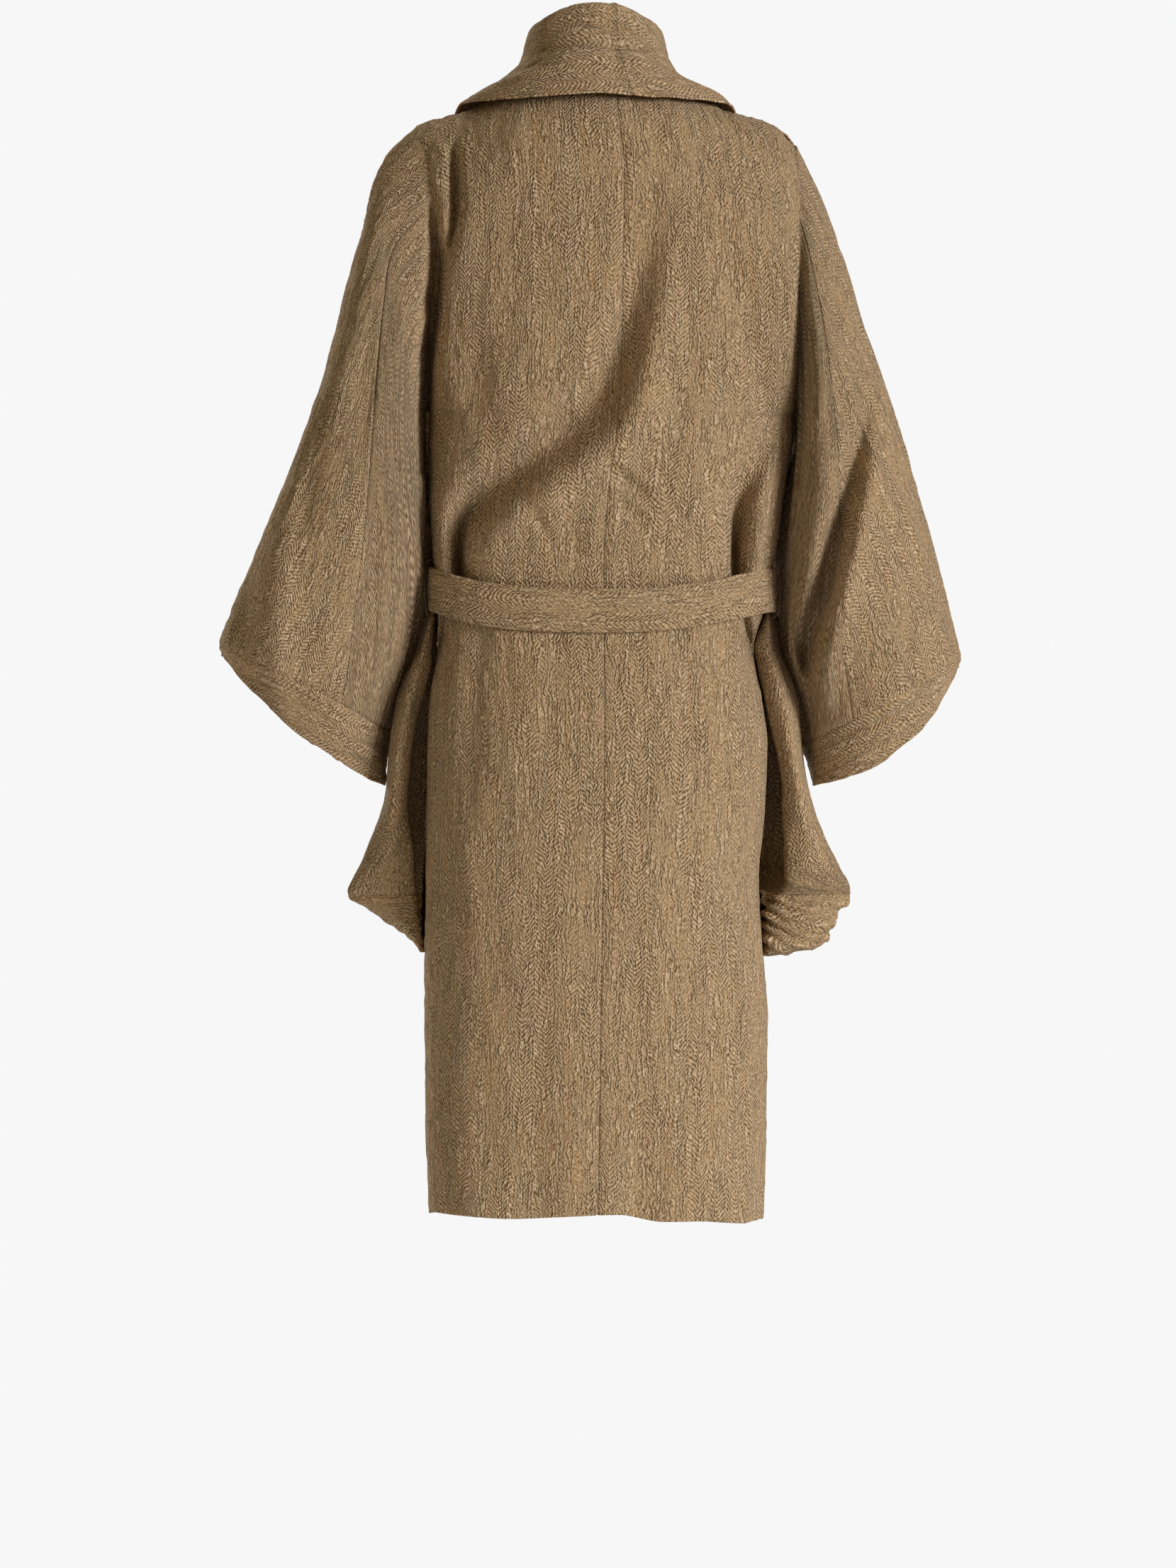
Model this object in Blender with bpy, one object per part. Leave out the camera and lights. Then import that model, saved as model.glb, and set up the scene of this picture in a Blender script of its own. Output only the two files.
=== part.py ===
"""Long belted wrap coat of wool cloth, worn and empty, as walls of cloth on a general figure.

Metres, +Z up. The origin is the middle of the neck base, level with the tops of the shoulders.
The back of the coat faces -Y and its front +Y, so +X is the wearer's right.
"""
import math
from collections import namedtuple

import bpy
from mathutils import Vector

# Driving sizes
CLOTH = 0.0025
COLLAR_CLOTH = 0.003
SEAM_GAP = 0.0003
HEM_HEIGHT = -1.240
HEM_TILT = -0.018
UNDERARM_HEIGHT = -0.340
SHOULDER_DROP = 0.130
FLATNESS = 2.35
NECK_HALF_WIDTH = 0.086
NECK_DEPTH = 0.070
ARMHOLE_DEPTH = 0.076
UNDER_FRONT_SETBACK = 0.015
SETBACK_FROM = 0.150
SETBACK_FADE = 0.085
SETBACK_TOP = -0.130
BELT_WIDTH = 0.050
BELT_THICKNESS = 0.0045
BELT_CLEARANCE = 0.001
BELT_SIDE_HEIGHT = -0.533
BELT_BACK_DIP = 0.026
BELT_FRONT_DIP = 0.010
BELT_BACK_RELIEF = 0.0035
BELT_FRONT_RELIEF = 0.0045
BELT_EDGE_EASE = 0.002
COLLAR_ROLL = 0.0065
SLEEVE_GAP = 0.001
ARMHOLE_SHARE = 0.95
LEAST_SHARE = 0.3
NO_DEPTH = 1e-6

# How finely the curves are stepped
BACK_STEPS = 8
FRONT_STEPS = 6
SIDE_LEVELS = 5
TOP_LEVELS = 6
SLEEVE_STEPS = 10
CUFF_STEPS = 3
BELT_STEPS = 40
COLLAR_ROLL_STEPS = 4
COLLAR_FALL_STEPS = 2
POCKET_STEPS = 3
SETTLE_STEPS = 8
HALVINGS = 40

LEFT = -1
RIGHT = 1

# The body as level sections: half-widths to the wearer's left and right, depths behind and in front
Section = namedtuple("Section", "height left right back front")
SECTIONS = (
    Section(-1.240, 0.188, 0.189, 0.118, 0.122),
    Section(-1.100, 0.192, 0.193, 0.120, 0.122),
    Section(-1.000, 0.192, 0.193, 0.124, 0.122),
    Section(-0.930, 0.192, 0.188, 0.127, 0.121),
    Section(-0.860, 0.191, 0.184, 0.130, 0.120),
    Section(-0.780, 0.190, 0.191, 0.131, 0.119),
    Section(-0.710, 0.189, 0.194, 0.128, 0.118),
    Section(-0.650, 0.185, 0.186, 0.120, 0.116),
    Section(-0.600, 0.1775, 0.178, 0.108, 0.112),
    Section(-0.545, 0.1785, 0.1925, 0.1005, 0.110),
    Section(-0.490, 0.184, 0.202, 0.112, 0.117),
    Section(-0.430, 0.187, 0.212, 0.122, 0.126),
    Section(-0.340, 0.189, 0.226, 0.124, 0.132),
    Section(-0.250, 0.187, 0.229, 0.122, 0.132),
    Section(-0.150, 0.185, 0.230, 0.119, 0.126),
    Section(-0.050, 0.190, 0.230, 0.114, 0.118),
    Section(-0.014, 0.205, 0.228, 0.110, 0.114),
)

# Levels of the rows of cloth from the hem up to the underarm
SKIRT_LEVELS = (-1.240, -1.120, -1.010, -0.910, -0.830, -0.750, -0.680, -0.630, -0.590, -0.550,
                -0.512, -0.480, -0.445, -0.410, -0.375, UNDERARM_HEIGHT)

# The top line of the shoulders, from the middle outwards
Ridge = namedtuple("Ridge", "out height")
RIDGE = (
    Ridge(0.000, 0.062), Ridge(0.085, 0.040), Ridge(0.150, 0.005), Ridge(0.186, -0.004),
    Ridge(0.205, -0.0135), Ridge(0.221, -0.028), Ridge(0.232, -0.041),
)

# The centre back seam wanders with the way the coat hangs
SeamPoint = namedtuple("SeamPoint", "height across")
CENTRE_SEAM = (
    SeamPoint(-1.240, 0.003), SeamPoint(-1.000, 0.006), SeamPoint(-0.660, 0.010), SeamPoint(-0.510, 0.009),
    SeamPoint(-0.280, 0.029), SeamPoint(-0.050, 0.032), SeamPoint(0.062, 0.024),
)

# Each front's free edge: how far it passes the middle, less than nothing where the neck opens
EdgePoint = namedtuple("EdgePoint", "height past")
FRONT_EDGE = (
    EdgePoint(-1.240, 0.100), EdgePoint(-0.560, 0.085), EdgePoint(-0.400, 0.020), EdgePoint(-0.300, -0.014),
    EdgePoint(-0.200, -0.040), EdgePoint(-0.100, -0.062), EdgePoint(0.000, -0.080), EdgePoint(0.040, -0.086),
)

# Large soft folds of the back: a trough along a path, with its depth and half-width at each point
FoldPoint = namedtuple("FoldPoint", "across height depth reach")
BACK_FOLDS = (
    (
        FoldPoint(-0.152, -0.540, 0.012, 0.014), FoldPoint(-0.148, -0.470, 0.024, 0.020),
        FoldPoint(-0.108, -0.420, 0.020, 0.030), FoldPoint(-0.062, -0.390, 0.017, 0.034),
        FoldPoint(-0.009, -0.349, 0.014, 0.036), FoldPoint(0.026, -0.290, 0.010, 0.034),
        FoldPoint(0.044, -0.220, 0.006, 0.032), FoldPoint(0.074, -0.126, 0.000, 0.030),
    ),
    (
        FoldPoint(0.160, -0.540, 0.012, 0.014), FoldPoint(0.160, -0.470, 0.024, 0.020),
        FoldPoint(0.166, -0.425, 0.020, 0.024), FoldPoint(0.190, -0.375, 0.014, 0.026),
        FoldPoint(0.215, -0.330, 0.000, 0.026),
    ),
)

# The sleeves as slanting rings: outer and inner points seen from behind, forward lean, depths, back sag
Ring = namedtuple("Ring", "outer_x outer_z inner_x inner_z forward back front sag")
SLEEVES = {
    LEFT: (
        Ring(-0.244, -0.060, -0.1905, -0.395, 0.000, 0.086, 0.084, 0.000),
        Ring(-0.263, -0.124, -0.1915, -0.430, 0.000, 0.093, 0.090, 0.000),
        Ring(-0.285, -0.215, -0.1925, -0.470, 0.002, 0.098, 0.095, 0.000),
        Ring(-0.314, -0.316, -0.1935, -0.510, 0.006, 0.100, 0.096, 0.000),
        Ring(-0.350, -0.412, -0.2000, -0.550, 0.012, 0.099, 0.094, 0.002),
        Ring(-0.390, -0.508, -0.2120, -0.600, 0.022, 0.095, 0.090, 0.006),
        Ring(-0.416, -0.572, -0.2270, -0.650, 0.032, 0.089, 0.086, 0.010),
        Ring(-0.426, -0.597, -0.2400, -0.690, 0.038, 0.084, 0.082, 0.012),
    ),
    RIGHT: (
        Ring(0.247, -0.075, 0.2260, -0.380, 0.000, 0.086, 0.084, 0.000),
        Ring(0.270, -0.136, 0.2225, -0.410, 0.000, 0.093, 0.090, 0.000),
        Ring(0.297, -0.216, 0.2190, -0.448, 0.002, 0.098, 0.095, 0.000),
        Ring(0.331, -0.316, 0.2160, -0.492, 0.006, 0.100, 0.096, 0.000),
        Ring(0.361, -0.412, 0.2140, -0.545, 0.012, 0.099, 0.094, 0.002),
        Ring(0.388, -0.508, 0.2160, -0.598, 0.022, 0.095, 0.090, 0.004),
        Ring(0.405, -0.575, 0.2310, -0.645, 0.032, 0.089, 0.086, 0.006),
        Ring(0.414, -0.610, 0.2430, -0.704, 0.038, 0.084, 0.082, 0.008),
    ),
}
CUFF_OPENINGS = {
    LEFT: Ring(-0.420, -0.614, -0.2415, -0.752, 0.052, 0.070, 0.066, 0.038),
    RIGHT: Ring(0.410, -0.624, 0.2470, -0.754, 0.052, 0.070, 0.066, 0.030),
}
SLEEVE_SEAM_COLUMN = 5
SLEEVE_SEAM_ANGLE = math.radians(118.0)
FRONT_SAG_SHARE = 0.5

# Stations of the collar from the centre back round to the lapel, on the wearer's left
Station = namedtuple("Station", "base roll fall edge")
COLLAR_STATIONS = (
    Station((0.000, -0.070, 0.040), (0.000, -0.064, 0.125), (0.000, -0.082, 0.074), (0.000, -0.103, 0.023)),
    Station((0.032, -0.064, 0.040), (0.028, -0.058, 0.1235), (0.035, -0.076, 0.073), (0.060, -0.091, 0.020)),
    Station((0.058, -0.046, 0.040), (0.048, -0.042, 0.120), (0.063, -0.053, 0.070), (0.110, -0.066, 0.017)),
    Station((0.076, -0.018, 0.040), (0.061, -0.014, 0.114), (0.078, -0.019, 0.067), (0.141, -0.034, 0.015)),
    Station((0.080, 0.018, 0.036), (0.065, 0.018, 0.104), (0.083, 0.018, 0.062), (0.153, 0.008, 0.012)),
    Station((0.078, 0.058, 0.018), (0.062, 0.062, 0.076), (0.088, 0.066, 0.040), (0.162, 0.070, -0.012)),
    Station((0.073, 0.090, -0.020), (0.056, 0.100, 0.020), (0.090, 0.104, -0.012), (0.164, 0.106, -0.070)),
)

# The lapels lie on the fronts: how far the cloth folds past the front's edge, and the width it shows
Lapel = namedtuple("Lapel", "height past width lift")
LAPELS = (
    Lapel(-0.505, 0.010, 0.030, 0.0065),
    Lapel(-0.450, 0.011, 0.060, 0.0068),
    Lapel(-0.380, 0.012, 0.080, 0.0070),
    Lapel(-0.300, 0.013, 0.092, 0.0075),
    Lapel(-0.220, 0.014, 0.098, 0.0080),
    Lapel(-0.150, 0.016, 0.100, 0.0090),
    Lapel(-0.090, 0.018, 0.100, 0.0110),
)
LAPEL_LEVELS = {
    LEFT: (-0.090, -0.150, -0.220, -0.300, -0.380, -0.450, -0.500),
    RIGHT: (-0.090, -0.150, -0.220, -0.290, -0.350, -0.400),
}
LAPEL_BASE_PAST = 0.001
LAPEL_ROLL_LIFT = 0.55
LAPEL_FALL_SHARE = 0.4
LAPEL_EDGE_DROP = 0.35
COLLAR_SEAM_ACROSS = 0.022

# Draped pockets at the sides: reach from the middle, how far the soft back edge bulges behind, and how
# far the pocket's front stands off the coat
Pocket = namedtuple("Pocket", "height reach bulge mouth")
POCKETS = {
    LEFT: (
        Pocket(-0.570, 0.1900, 0.014, 0.046),
        Pocket(-0.600, 0.1995, 0.018, 0.047),
        Pocket(-0.633, 0.2150, 0.022, 0.048),
        Pocket(-0.682, 0.2270, 0.024, 0.049),
        Pocket(-0.730, 0.2340, 0.024, 0.050),
        Pocket(-0.764, 0.2380, 0.022, 0.051),
        Pocket(-0.800, 0.2475, 0.018, 0.052),
        Pocket(-0.840, 0.2620, 0.012, 0.052),
        Pocket(-0.878, 0.2780, 0.006, 0.052),
    ),
    RIGHT: (
        Pocket(-0.570, 0.1990, 0.014, 0.046),
        Pocket(-0.600, 0.2040, 0.018, 0.047),
        Pocket(-0.633, 0.2160, 0.022, 0.048),
        Pocket(-0.682, 0.2270, 0.024, 0.049),
        Pocket(-0.730, 0.2340, 0.024, 0.050),
        Pocket(-0.764, 0.2410, 0.022, 0.051),
        Pocket(-0.800, 0.2530, 0.018, 0.052),
        Pocket(-0.840, 0.2710, 0.012, 0.052),
        Pocket(-0.878, 0.2860, 0.006, 0.052),
    ),
}
POCKET_BASES = {
    LEFT: (
        Pocket(-0.900, 0.2460, 0.008, 0.042),
        Pocket(-0.922, 0.2160, 0.008, 0.026),
        Pocket(-0.941, 0.1985, 0.004, 0.008),
    ),
    RIGHT: (
        Pocket(-0.908, 0.2720, 0.010, 0.044),
        Pocket(-0.934, 0.2440, 0.010, 0.030),
        Pocket(-0.945, 0.1985, 0.004, 0.008),
    ),
}
POCKET_FRONT_ANGLE = math.radians(36.0)
POCKET_CHEEK_ANGLE = math.radians(62.0)
POCKET_SEAM_DEPTH = 0.006
POCKET_ROLL_SHARE = 0.55
POCKET_ROLL_DEPTH = 0.002
POCKET_OUT_DEPTH = 0.012
POCKET_CLEARANCE = 0.0005

# The tie: a flat knot and two hanging ends
KNOT_SIZE = (0.060, 0.022, 0.056)
KNOT_BEVEL = 0.009
KNOT_BEVEL_STEPS = 3
TIE_END_THICKNESS = 0.0045
TIE_LIFT = 0.002
TIE_END_GAP = 0.001
TIE_END_SWING = 0.004
TieEnd = namedtuple("TieEnd", "name top_across low_across length")
TIE_ENDS = (
    TieEnd("tie_end_left", -0.026, -0.060, 0.400),
    TieEnd("tie_end_right", 0.026, 0.052, 0.360),
)
TIE_END_STEPS = 10

# Thread loops that carry the belt at the side seams
LOOP_THREAD = 0.0009
LOOP_HALF_HEIGHT = 0.033
LOOP_STAND = 0.0042
LOOP_STEPS = 10
LOOP_FULLNESS = 0.3

CLOTH_ROUGHNESS = 0.92
WOOL_COLOUR = (0.300, 0.195, 0.102, 1.0)
THREAD_COLOUR = (0.215, 0.140, 0.075, 1.0)


def read(table, column, at):
    """Value of one column of a table at a place in its first column, on a curve with no overshoot."""
    keys = [row[0] for row in table]
    values = [getattr(row, column) for row in table]
    at = min(max(at, keys[0]), keys[-1])
    last = len(keys) - 1
    slopes = [(values[i + 1] - values[i]) / (keys[i + 1] - keys[i]) for i in range(last)]
    tangents = [slopes[0]]
    for before, after in zip(slopes, slopes[1:]):
        tangents.append(2.0 * before * after / (before + after) if before * after > 0.0 else 0.0)
    tangents.append(slopes[-1])
    i = max(k for k in range(last) if keys[k] <= at)
    span = keys[i + 1] - keys[i]
    t = (at - keys[i]) / span
    return (
        (1 + 2 * t) * (1 - t) ** 2 * values[i] + t * (1 - t) ** 2 * span * tangents[i]
        + t * t * (3 - 2 * t) * values[i + 1] - t * t * (1 - t) * span * tangents[i + 1]
    )


def ease(value):
    """Smooth step from 0 to 1."""
    value = min(max(value, 0.0), 1.0)
    return value * value * (3.0 - 2.0 * value)


def spaced(start, end, steps):
    """Even values from start to end, both included."""
    return [start + (end - start) * i / steps for i in range(steps + 1)]


def through(points, steps):
    """Points along a smooth curve through a few vectors, the same number in each span."""
    line = []
    last = len(points) - 1
    for i in range(last):
        before = points[max(i - 1, 0)]
        after = points[min(i + 2, last)]
        start = points[i]
        end = points[i + 1]
        bend = 2.0 * before - 5.0 * start + 4.0 * end - after
        twist = 3.0 * start - before - 3.0 * end + after
        for t in spaced(0.0, 1.0, steps)[:-1]:
            line.append(start + 0.5 * ((end - before) * t + bend * t * t + twist * t ** 3))
    line.append(points[-1].copy())
    return line


# Rows of the body. A level is a height up to the underarm, then 0 to 1 up the armhole side to the start of
# the shoulder, then 1 to 2 over the shoulder to its top line.

def ridge(across):
    """Height of the top line of the shoulder."""
    return read(RIDGE, "height", abs(across))


def neck_angle(across, depth):
    """Where the back's rows stop short of the top line, to leave the neck open."""
    share = min(abs(across) / NECK_HALF_WIDTH, 1.0)
    return math.asin(min(NECK_DEPTH * math.sqrt(1.0 - share * share) / depth, 1.0))


def turn(level, stop):
    """Angle of a row over the shoulder: a right angle at its start, the stop at its end."""
    return math.pi / 2 + (stop - math.pi / 2) * max(level - 1.0, 0.0)


def height_at(level, across, stop=0.0):
    """Height of a row at a place across the body."""
    if level < 0.0:
        tilt = HEM_TILT * across * ease((level - UNDERARM_HEIGHT) / (HEM_HEIGHT - UNDERARM_HEIGHT))
        return level + tilt
    shoulder = ridge(across) - SHOULDER_DROP
    if level <= 1.0:
        return UNDERARM_HEIGHT + (shoulder - UNDERARM_HEIGHT) * level
    return ridge(across) - SHOULDER_DROP * (1.0 - math.cos(turn(level, stop)))


def body_levels():
    """All the levels, from the hem to the top of the shoulder."""
    side = spaced(0.0, 1.0, SIDE_LEVELS)[1:]
    top = spaced(1.0, 2.0, TOP_LEVELS)[1:]
    return list(SKIRT_LEVELS) + side + top


def depth_at(level, column):
    """How far the cloth stands behind or in front of the body's middle at a row."""
    return read(SECTIONS, column, height_at(min(level, 1.0), NECK_HALF_WIDTH))


def edge_at(side, level, depth):
    """Where a row ends: at the side seam below the underarm, on the armhole above it."""
    column = "left" if side == LEFT else "right"
    if level < 0.0:
        return read(SECTIONS, column, level), 0.0
    out = read(SECTIONS, column, UNDERARM_HEIGHT)
    for _ in range(SETTLE_STEPS):
        out = read(SECTIONS, column, height_at(level, out))
    top = armhole_top(side)
    share = (top - height_at(level, out)) / (top - UNDERARM_HEIGHT)
    angle = math.acos(min(max(1.0 - 2.0 * share, -1.0), 1.0))
    return out, min(ARMHOLE_DEPTH * math.sin(angle), ARMHOLE_SHARE * depth)


def armhole_top(side):
    """Height of the top of the armhole."""
    column = "left" if side == LEFT else "right"
    out = SECTIONS[-1].left
    for _ in range(SETTLE_STEPS):
        out = read(SECTIONS, column, ridge(out))
    return ridge(out)


class Row:
    """One row of the body, as an oval whose side part reaches the side seam or the armhole."""

    def __init__(self, level, column):
        self.level = level
        self.depth = depth_at(level, column)
        self.full_depth = self.depth
        self.depth *= math.sin(turn(level, 0.0))
        self.width = {}
        self.end = {}
        for side in (LEFT, RIGHT):
            out, edge_depth = edge_at(side, level, max(self.depth, NO_DEPTH))
            share = LEAST_SHARE
            if self.depth > NO_DEPTH:
                share = (edge_depth / self.depth) ** FLATNESS
            self.width[side] = out / (1.0 - share) ** (1.0 / FLATNESS)
            self.end[side] = self.angle(side * out)

    def angle(self, across):
        """Angle round the oval of a place across the body."""
        side = LEFT if across < 0.0 else RIGHT
        share = min(abs(across) / self.width[side], 1.0)
        return side * math.asin(share ** (FLATNESS / 2.0))

    def point(self, angle, facing):
        """Point of the row at an angle, behind (-1) or in front (1)."""
        side = LEFT if angle < 0.0 else RIGHT
        across = side * self.width[side] * abs(math.sin(angle)) ** (2.0 / FLATNESS)
        share = max(math.cos(angle), 0.0) ** (2.0 / FLATNESS)
        depth = self.depth
        stop = 0.0
        if facing < 0 and self.level > 1.0:
            stop = neck_angle(across, self.full_depth * max(share, LEAST_SHARE))
            depth = self.full_depth * math.sin(turn(self.level, stop))
        return Vector((across, facing * depth * share, height_at(self.level, across, stop)))


def trough(folds, across, height):
    """How deep the folds press the cloth in at a place on the back."""
    deepest = 0.0
    for path in folds:
        for start, end in zip(path, path[1:]):
            along = Vector((end.across - start.across, end.height - start.height))
            offset = Vector((across - start.across, height - start.height))
            t = min(max(offset.dot(along) / along.length_squared, 0.0), 1.0)
            distance = (offset - along * t).length
            depth = start.depth + (end.depth - start.depth) * t
            reach = start.reach + (end.reach - start.reach) * t
            deepest = max(deepest, depth * math.exp(-(distance / reach) ** 2))
    return deepest


def back_rows(side):
    """Points of one back panel, each row from the centre back seam out to the side."""
    rows = []
    for level in body_levels():
        row = Row(level, "back")
        seam = row.angle(read(CENTRE_SEAM, "across", height_at(level, 0.0)))
        line = []
        for angle in spaced(seam, row.end[side], BACK_STEPS):
            point = row.point(angle, -1)
            press = trough(BACK_FOLDS, point.x, point.z)
            point += Vector((-math.sin(angle), math.cos(angle), 0.0)) * press
            line.append(point)
        rows.append(line)
    return rows


def front_edge(side, level, row):
    """Angle at which a front's row reaches its free edge."""
    past = 0.0
    for _ in range(SETTLE_STEPS):
        past = read(FRONT_EDGE, "past", height_at(level, past))
    return row.angle(-side * past)


def set_back(side, point):
    """The wearer's right front lies under the left one near the middle, below the open neck."""
    if side == RIGHT:
        inner = ease((SETBACK_FROM - point.x) / SETBACK_FADE)
        point.y -= UNDER_FRONT_SETBACK * inner * ease((SETBACK_TOP - point.z) / SETBACK_FADE)
    return point


def front_point(side, across, level):
    """Point of a front panel at a place across and a level."""
    row = Row(level, "front")
    return set_back(side, row.point(row.angle(across), 1))


def front_rows(side):
    """Points of one front panel, each row from the side to the free edge."""
    rows = []
    for level in body_levels():
        row = Row(level, "front")
        line = [
            set_back(side, row.point(angle, 1))
            for angle in spaced(row.end[side], front_edge(side, level, row), FRONT_STEPS)
        ]
        rows.append(line)
    return rows


def armhole(side):
    """Points round the armhole: from the top down the back, then up the front."""
    levels = [level for level in body_levels() if level >= 0.0]
    behind = []
    ahead = []
    for level in [UNDERARM_HEIGHT] + levels:
        row = Row(level, "back")
        behind.append(row.point(row.end[side], -1))
        row = Row(level, "front")
        ahead.append(row.point(row.end[side], 1))
    return behind[::-1] + ahead[1:-1]


def ring_point(ring, angle):
    """Point of a sleeve ring: 0 at its outer side, a right angle at its back."""
    outer = Vector((ring.outer_x, ring.forward, ring.outer_z))
    inner = Vector((ring.inner_x, ring.forward, ring.inner_z))
    middle = (outer + inner) / 2.0
    across = (outer - inner) / 2.0
    down = Vector((-across.z, 0.0, across.x)).normalized()
    if down.z > 0.0:
        down.negate()
    lift = math.sin(angle)
    depth = ring.back if lift > 0.0 else ring.front
    sag = ring.sag if lift > 0.0 else -ring.sag * FRONT_SAG_SHARE
    return middle + across * math.cos(angle) + Vector((0.0, -depth, 0.0)) * lift + down * sag * abs(lift)


def column_angles(count):
    """Angles of a sleeve's columns, with the two sleeve seams on chosen columns."""
    half = count // 2
    outer = spaced(0.0, SLEEVE_SEAM_ANGLE, SLEEVE_SEAM_COLUMN)
    inner = spaced(SLEEVE_SEAM_ANGLE, math.pi, half - SLEEVE_SEAM_COLUMN)
    back = outer + inner[1:]
    return back + [2.0 * math.pi - angle for angle in back[-2:0:-1]]


def armhole_angles(points):
    """Angle of each armhole point on a ring from the top of the armhole to the underarm."""
    top = points[0].z
    middle = len(points) // 2
    angles = []
    for k, point in enumerate(points):
        share = (top - point.z) / (top - points[middle].z)
        angle = math.acos(min(max(1.0 - 2.0 * share, -1.0), 1.0))
        angles.append(angle if k <= middle else 2.0 * math.pi - angle)
    return angles


def ring_at(rings, place):
    """A ring between two rows of the sleeve table, on a smooth curve through them."""
    numbered = [namedtuple("Numbered", ("place",) + Ring._fields)(i, *ring) for i, ring in enumerate(rings)]
    return Ring(*[read(numbered, column, place) for column in Ring._fields])


def sleeve_rows(side):
    """Rings of a sleeve from the armhole to the cuff opening."""
    start = armhole(side)
    low_angles = column_angles(len(start))
    top_angles = armhole_angles(start)
    rings = SLEEVES[side]
    rows = [start]
    for share in spaced(0.0, 1.0, SLEEVE_STEPS - 1):
        ring = ring_at(rings, share * (len(rings) - 1))
        mix = ease((share * (SLEEVE_STEPS - 1) + 1.0) / SLEEVE_STEPS)
        rows.append([
            ring_point(ring, top + (low - top) * mix) for top, low in zip(top_angles, low_angles)
        ])
    opening = CUFF_OPENINGS[side]
    for share in spaced(0.0, 1.0, CUFF_STEPS)[1:]:
        mix = Ring(*[a + (b - a) * share for a, b in zip(rings[-1], opening)])
        rows.append([ring_point(mix, angle) for angle in low_angles])
    return rows


# Collar

def mirrored(station, side):
    """A collar station on one side of the middle; the table holds distances out from it."""
    return [Vector((side * abs(place[0]), place[1], place[2])) for place in station]


def lapel_station(side, height):
    """A station where the collar folds over the edge of a front and lies on it."""
    lapel_past = read(LAPELS, "past", height)
    width = read(LAPELS, "width", height)
    lift = read(LAPELS, "lift", height)
    past = read(FRONT_EDGE, "past", height)
    level = level_of(height, past)

    def on_front(inward, out):
        point = front_point(side, -side * (past + inward), level)
        return point + Vector((0.0, out, 0.0))

    base = on_front(LAPEL_BASE_PAST, 0.0)
    roll = on_front(lapel_past, lift * LAPEL_ROLL_LIFT)
    fall = on_front(-width * LAPEL_FALL_SHARE, lift)
    edge = on_front(-width, lift)
    edge.z -= width * LAPEL_EDGE_DROP
    return [base, roll, fall, edge]


def level_of(height, across):
    """Level of the row that passes through a height at a place across."""
    if height <= UNDERARM_HEIGHT:
        return height
    low = 0.0
    high = 2.0
    for _ in range(HALVINGS):
        middle = (low + high) / 2.0
        if height_at(middle, across) < height:
            low = middle
        else:
            high = middle
    return low


def collar_profile(base, roll, fall, edge):
    """Section of the collar: up the stand, over the roll, down the fall to its free edge."""
    up = (roll - (base + fall) / 2.0).normalized()
    out = fall - base
    out = (out - up * out.dot(up)).normalized()
    radius = min(COLLAR_ROLL, (fall - base).dot(out) / 2.0)
    hub = roll - up * radius
    arc = [
        hub + (up * math.sin(angle) - out * math.cos(angle)) * radius
        for angle in spaced(0.0, math.pi, COLLAR_ROLL_STEPS)
    ]
    stand = [base, (base + arc[0]) / 2.0]
    return stand + arc + through([arc[-1], fall, edge], COLLAR_FALL_STEPS)[1:]


def collar_rows(side):
    """Profiles of half the collar, from the centre back to the lower end of the lapel."""
    rows = []
    stations = [mirrored(station, side) for station in COLLAR_STATIONS]
    share = COLLAR_SEAM_ACROSS / COLLAR_STATIONS[1].base[0]
    if side == RIGHT:
        stations = [shifted(stations[0], stations[1], share)] + stations[1:]
    else:
        ahead = mirrored(COLLAR_STATIONS[1], RIGHT)
        stations = [shifted(stations[0], ahead, share)] + stations
    stations += [lapel_station(side, height) for height in LAPEL_LEVELS[side]]
    for station in stations:
        rows.append(collar_profile(*station))
    return rows


def shifted(first, second, share):
    """Station part of the way from one station to the next."""
    return [a + (b - a) * share for a, b in zip(first, second)]


# Pockets

def pocket_profile(side, pocket):
    """Level section of a pocket: from the side seam round the soft back roll to the front panel."""
    row = Row(pocket.height, "front")
    front = row.point(side * POCKET_FRONT_ANGLE, 1)
    outward = Vector((front.x, front.y, 0.0)).normalized()
    front += outward * (CLOTH + POCKET_CLEARANCE)
    start = Vector((side * (row.width[side] + POCKET_CLEARANCE), POCKET_SEAM_DEPTH, pocket.height))
    reach = side * pocket.reach
    gap = pocket.reach - row.width[side]
    middle = side * (row.width[side] + POCKET_ROLL_SHARE * gap)
    roll_back = Vector((middle, POCKET_ROLL_DEPTH - pocket.bulge, pocket.height))
    roll_out = Vector((reach, POCKET_OUT_DEPTH, pocket.height))
    cheek = row.point(side * POCKET_CHEEK_ANGLE, 1)
    cheek += Vector((cheek.x, cheek.y, 0.0)).normalized() * pocket.mouth
    return [start, roll_back, roll_out, cheek, front]


def clear_of_front(side, point):
    """The point moved out, where needed, so that the pocket's wall clears the front panel."""
    row = Row(point.z, "front")
    share = (abs(point.x) / row.width[side]) ** FLATNESS + (max(point.y, 0.0) / row.depth) ** FLATNESS
    scale = share ** (1.0 / FLATNESS)
    least = 1.0 + (CLOTH + POCKET_CLEARANCE) / row.depth
    if point.y > POCKET_SEAM_DEPTH and scale < least:
        point.x *= least / scale
        point.y *= least / scale
    return point


def pocket_rows(side):
    """Sections of a pocket from its mouth to its foot."""
    tables = POCKETS[side] + POCKET_BASES[side]
    return [
        [clear_of_front(side, point) for point in through(pocket_profile(side, pocket), POCKET_STEPS)]
        for pocket in tables
    ]


# Belt

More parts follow.
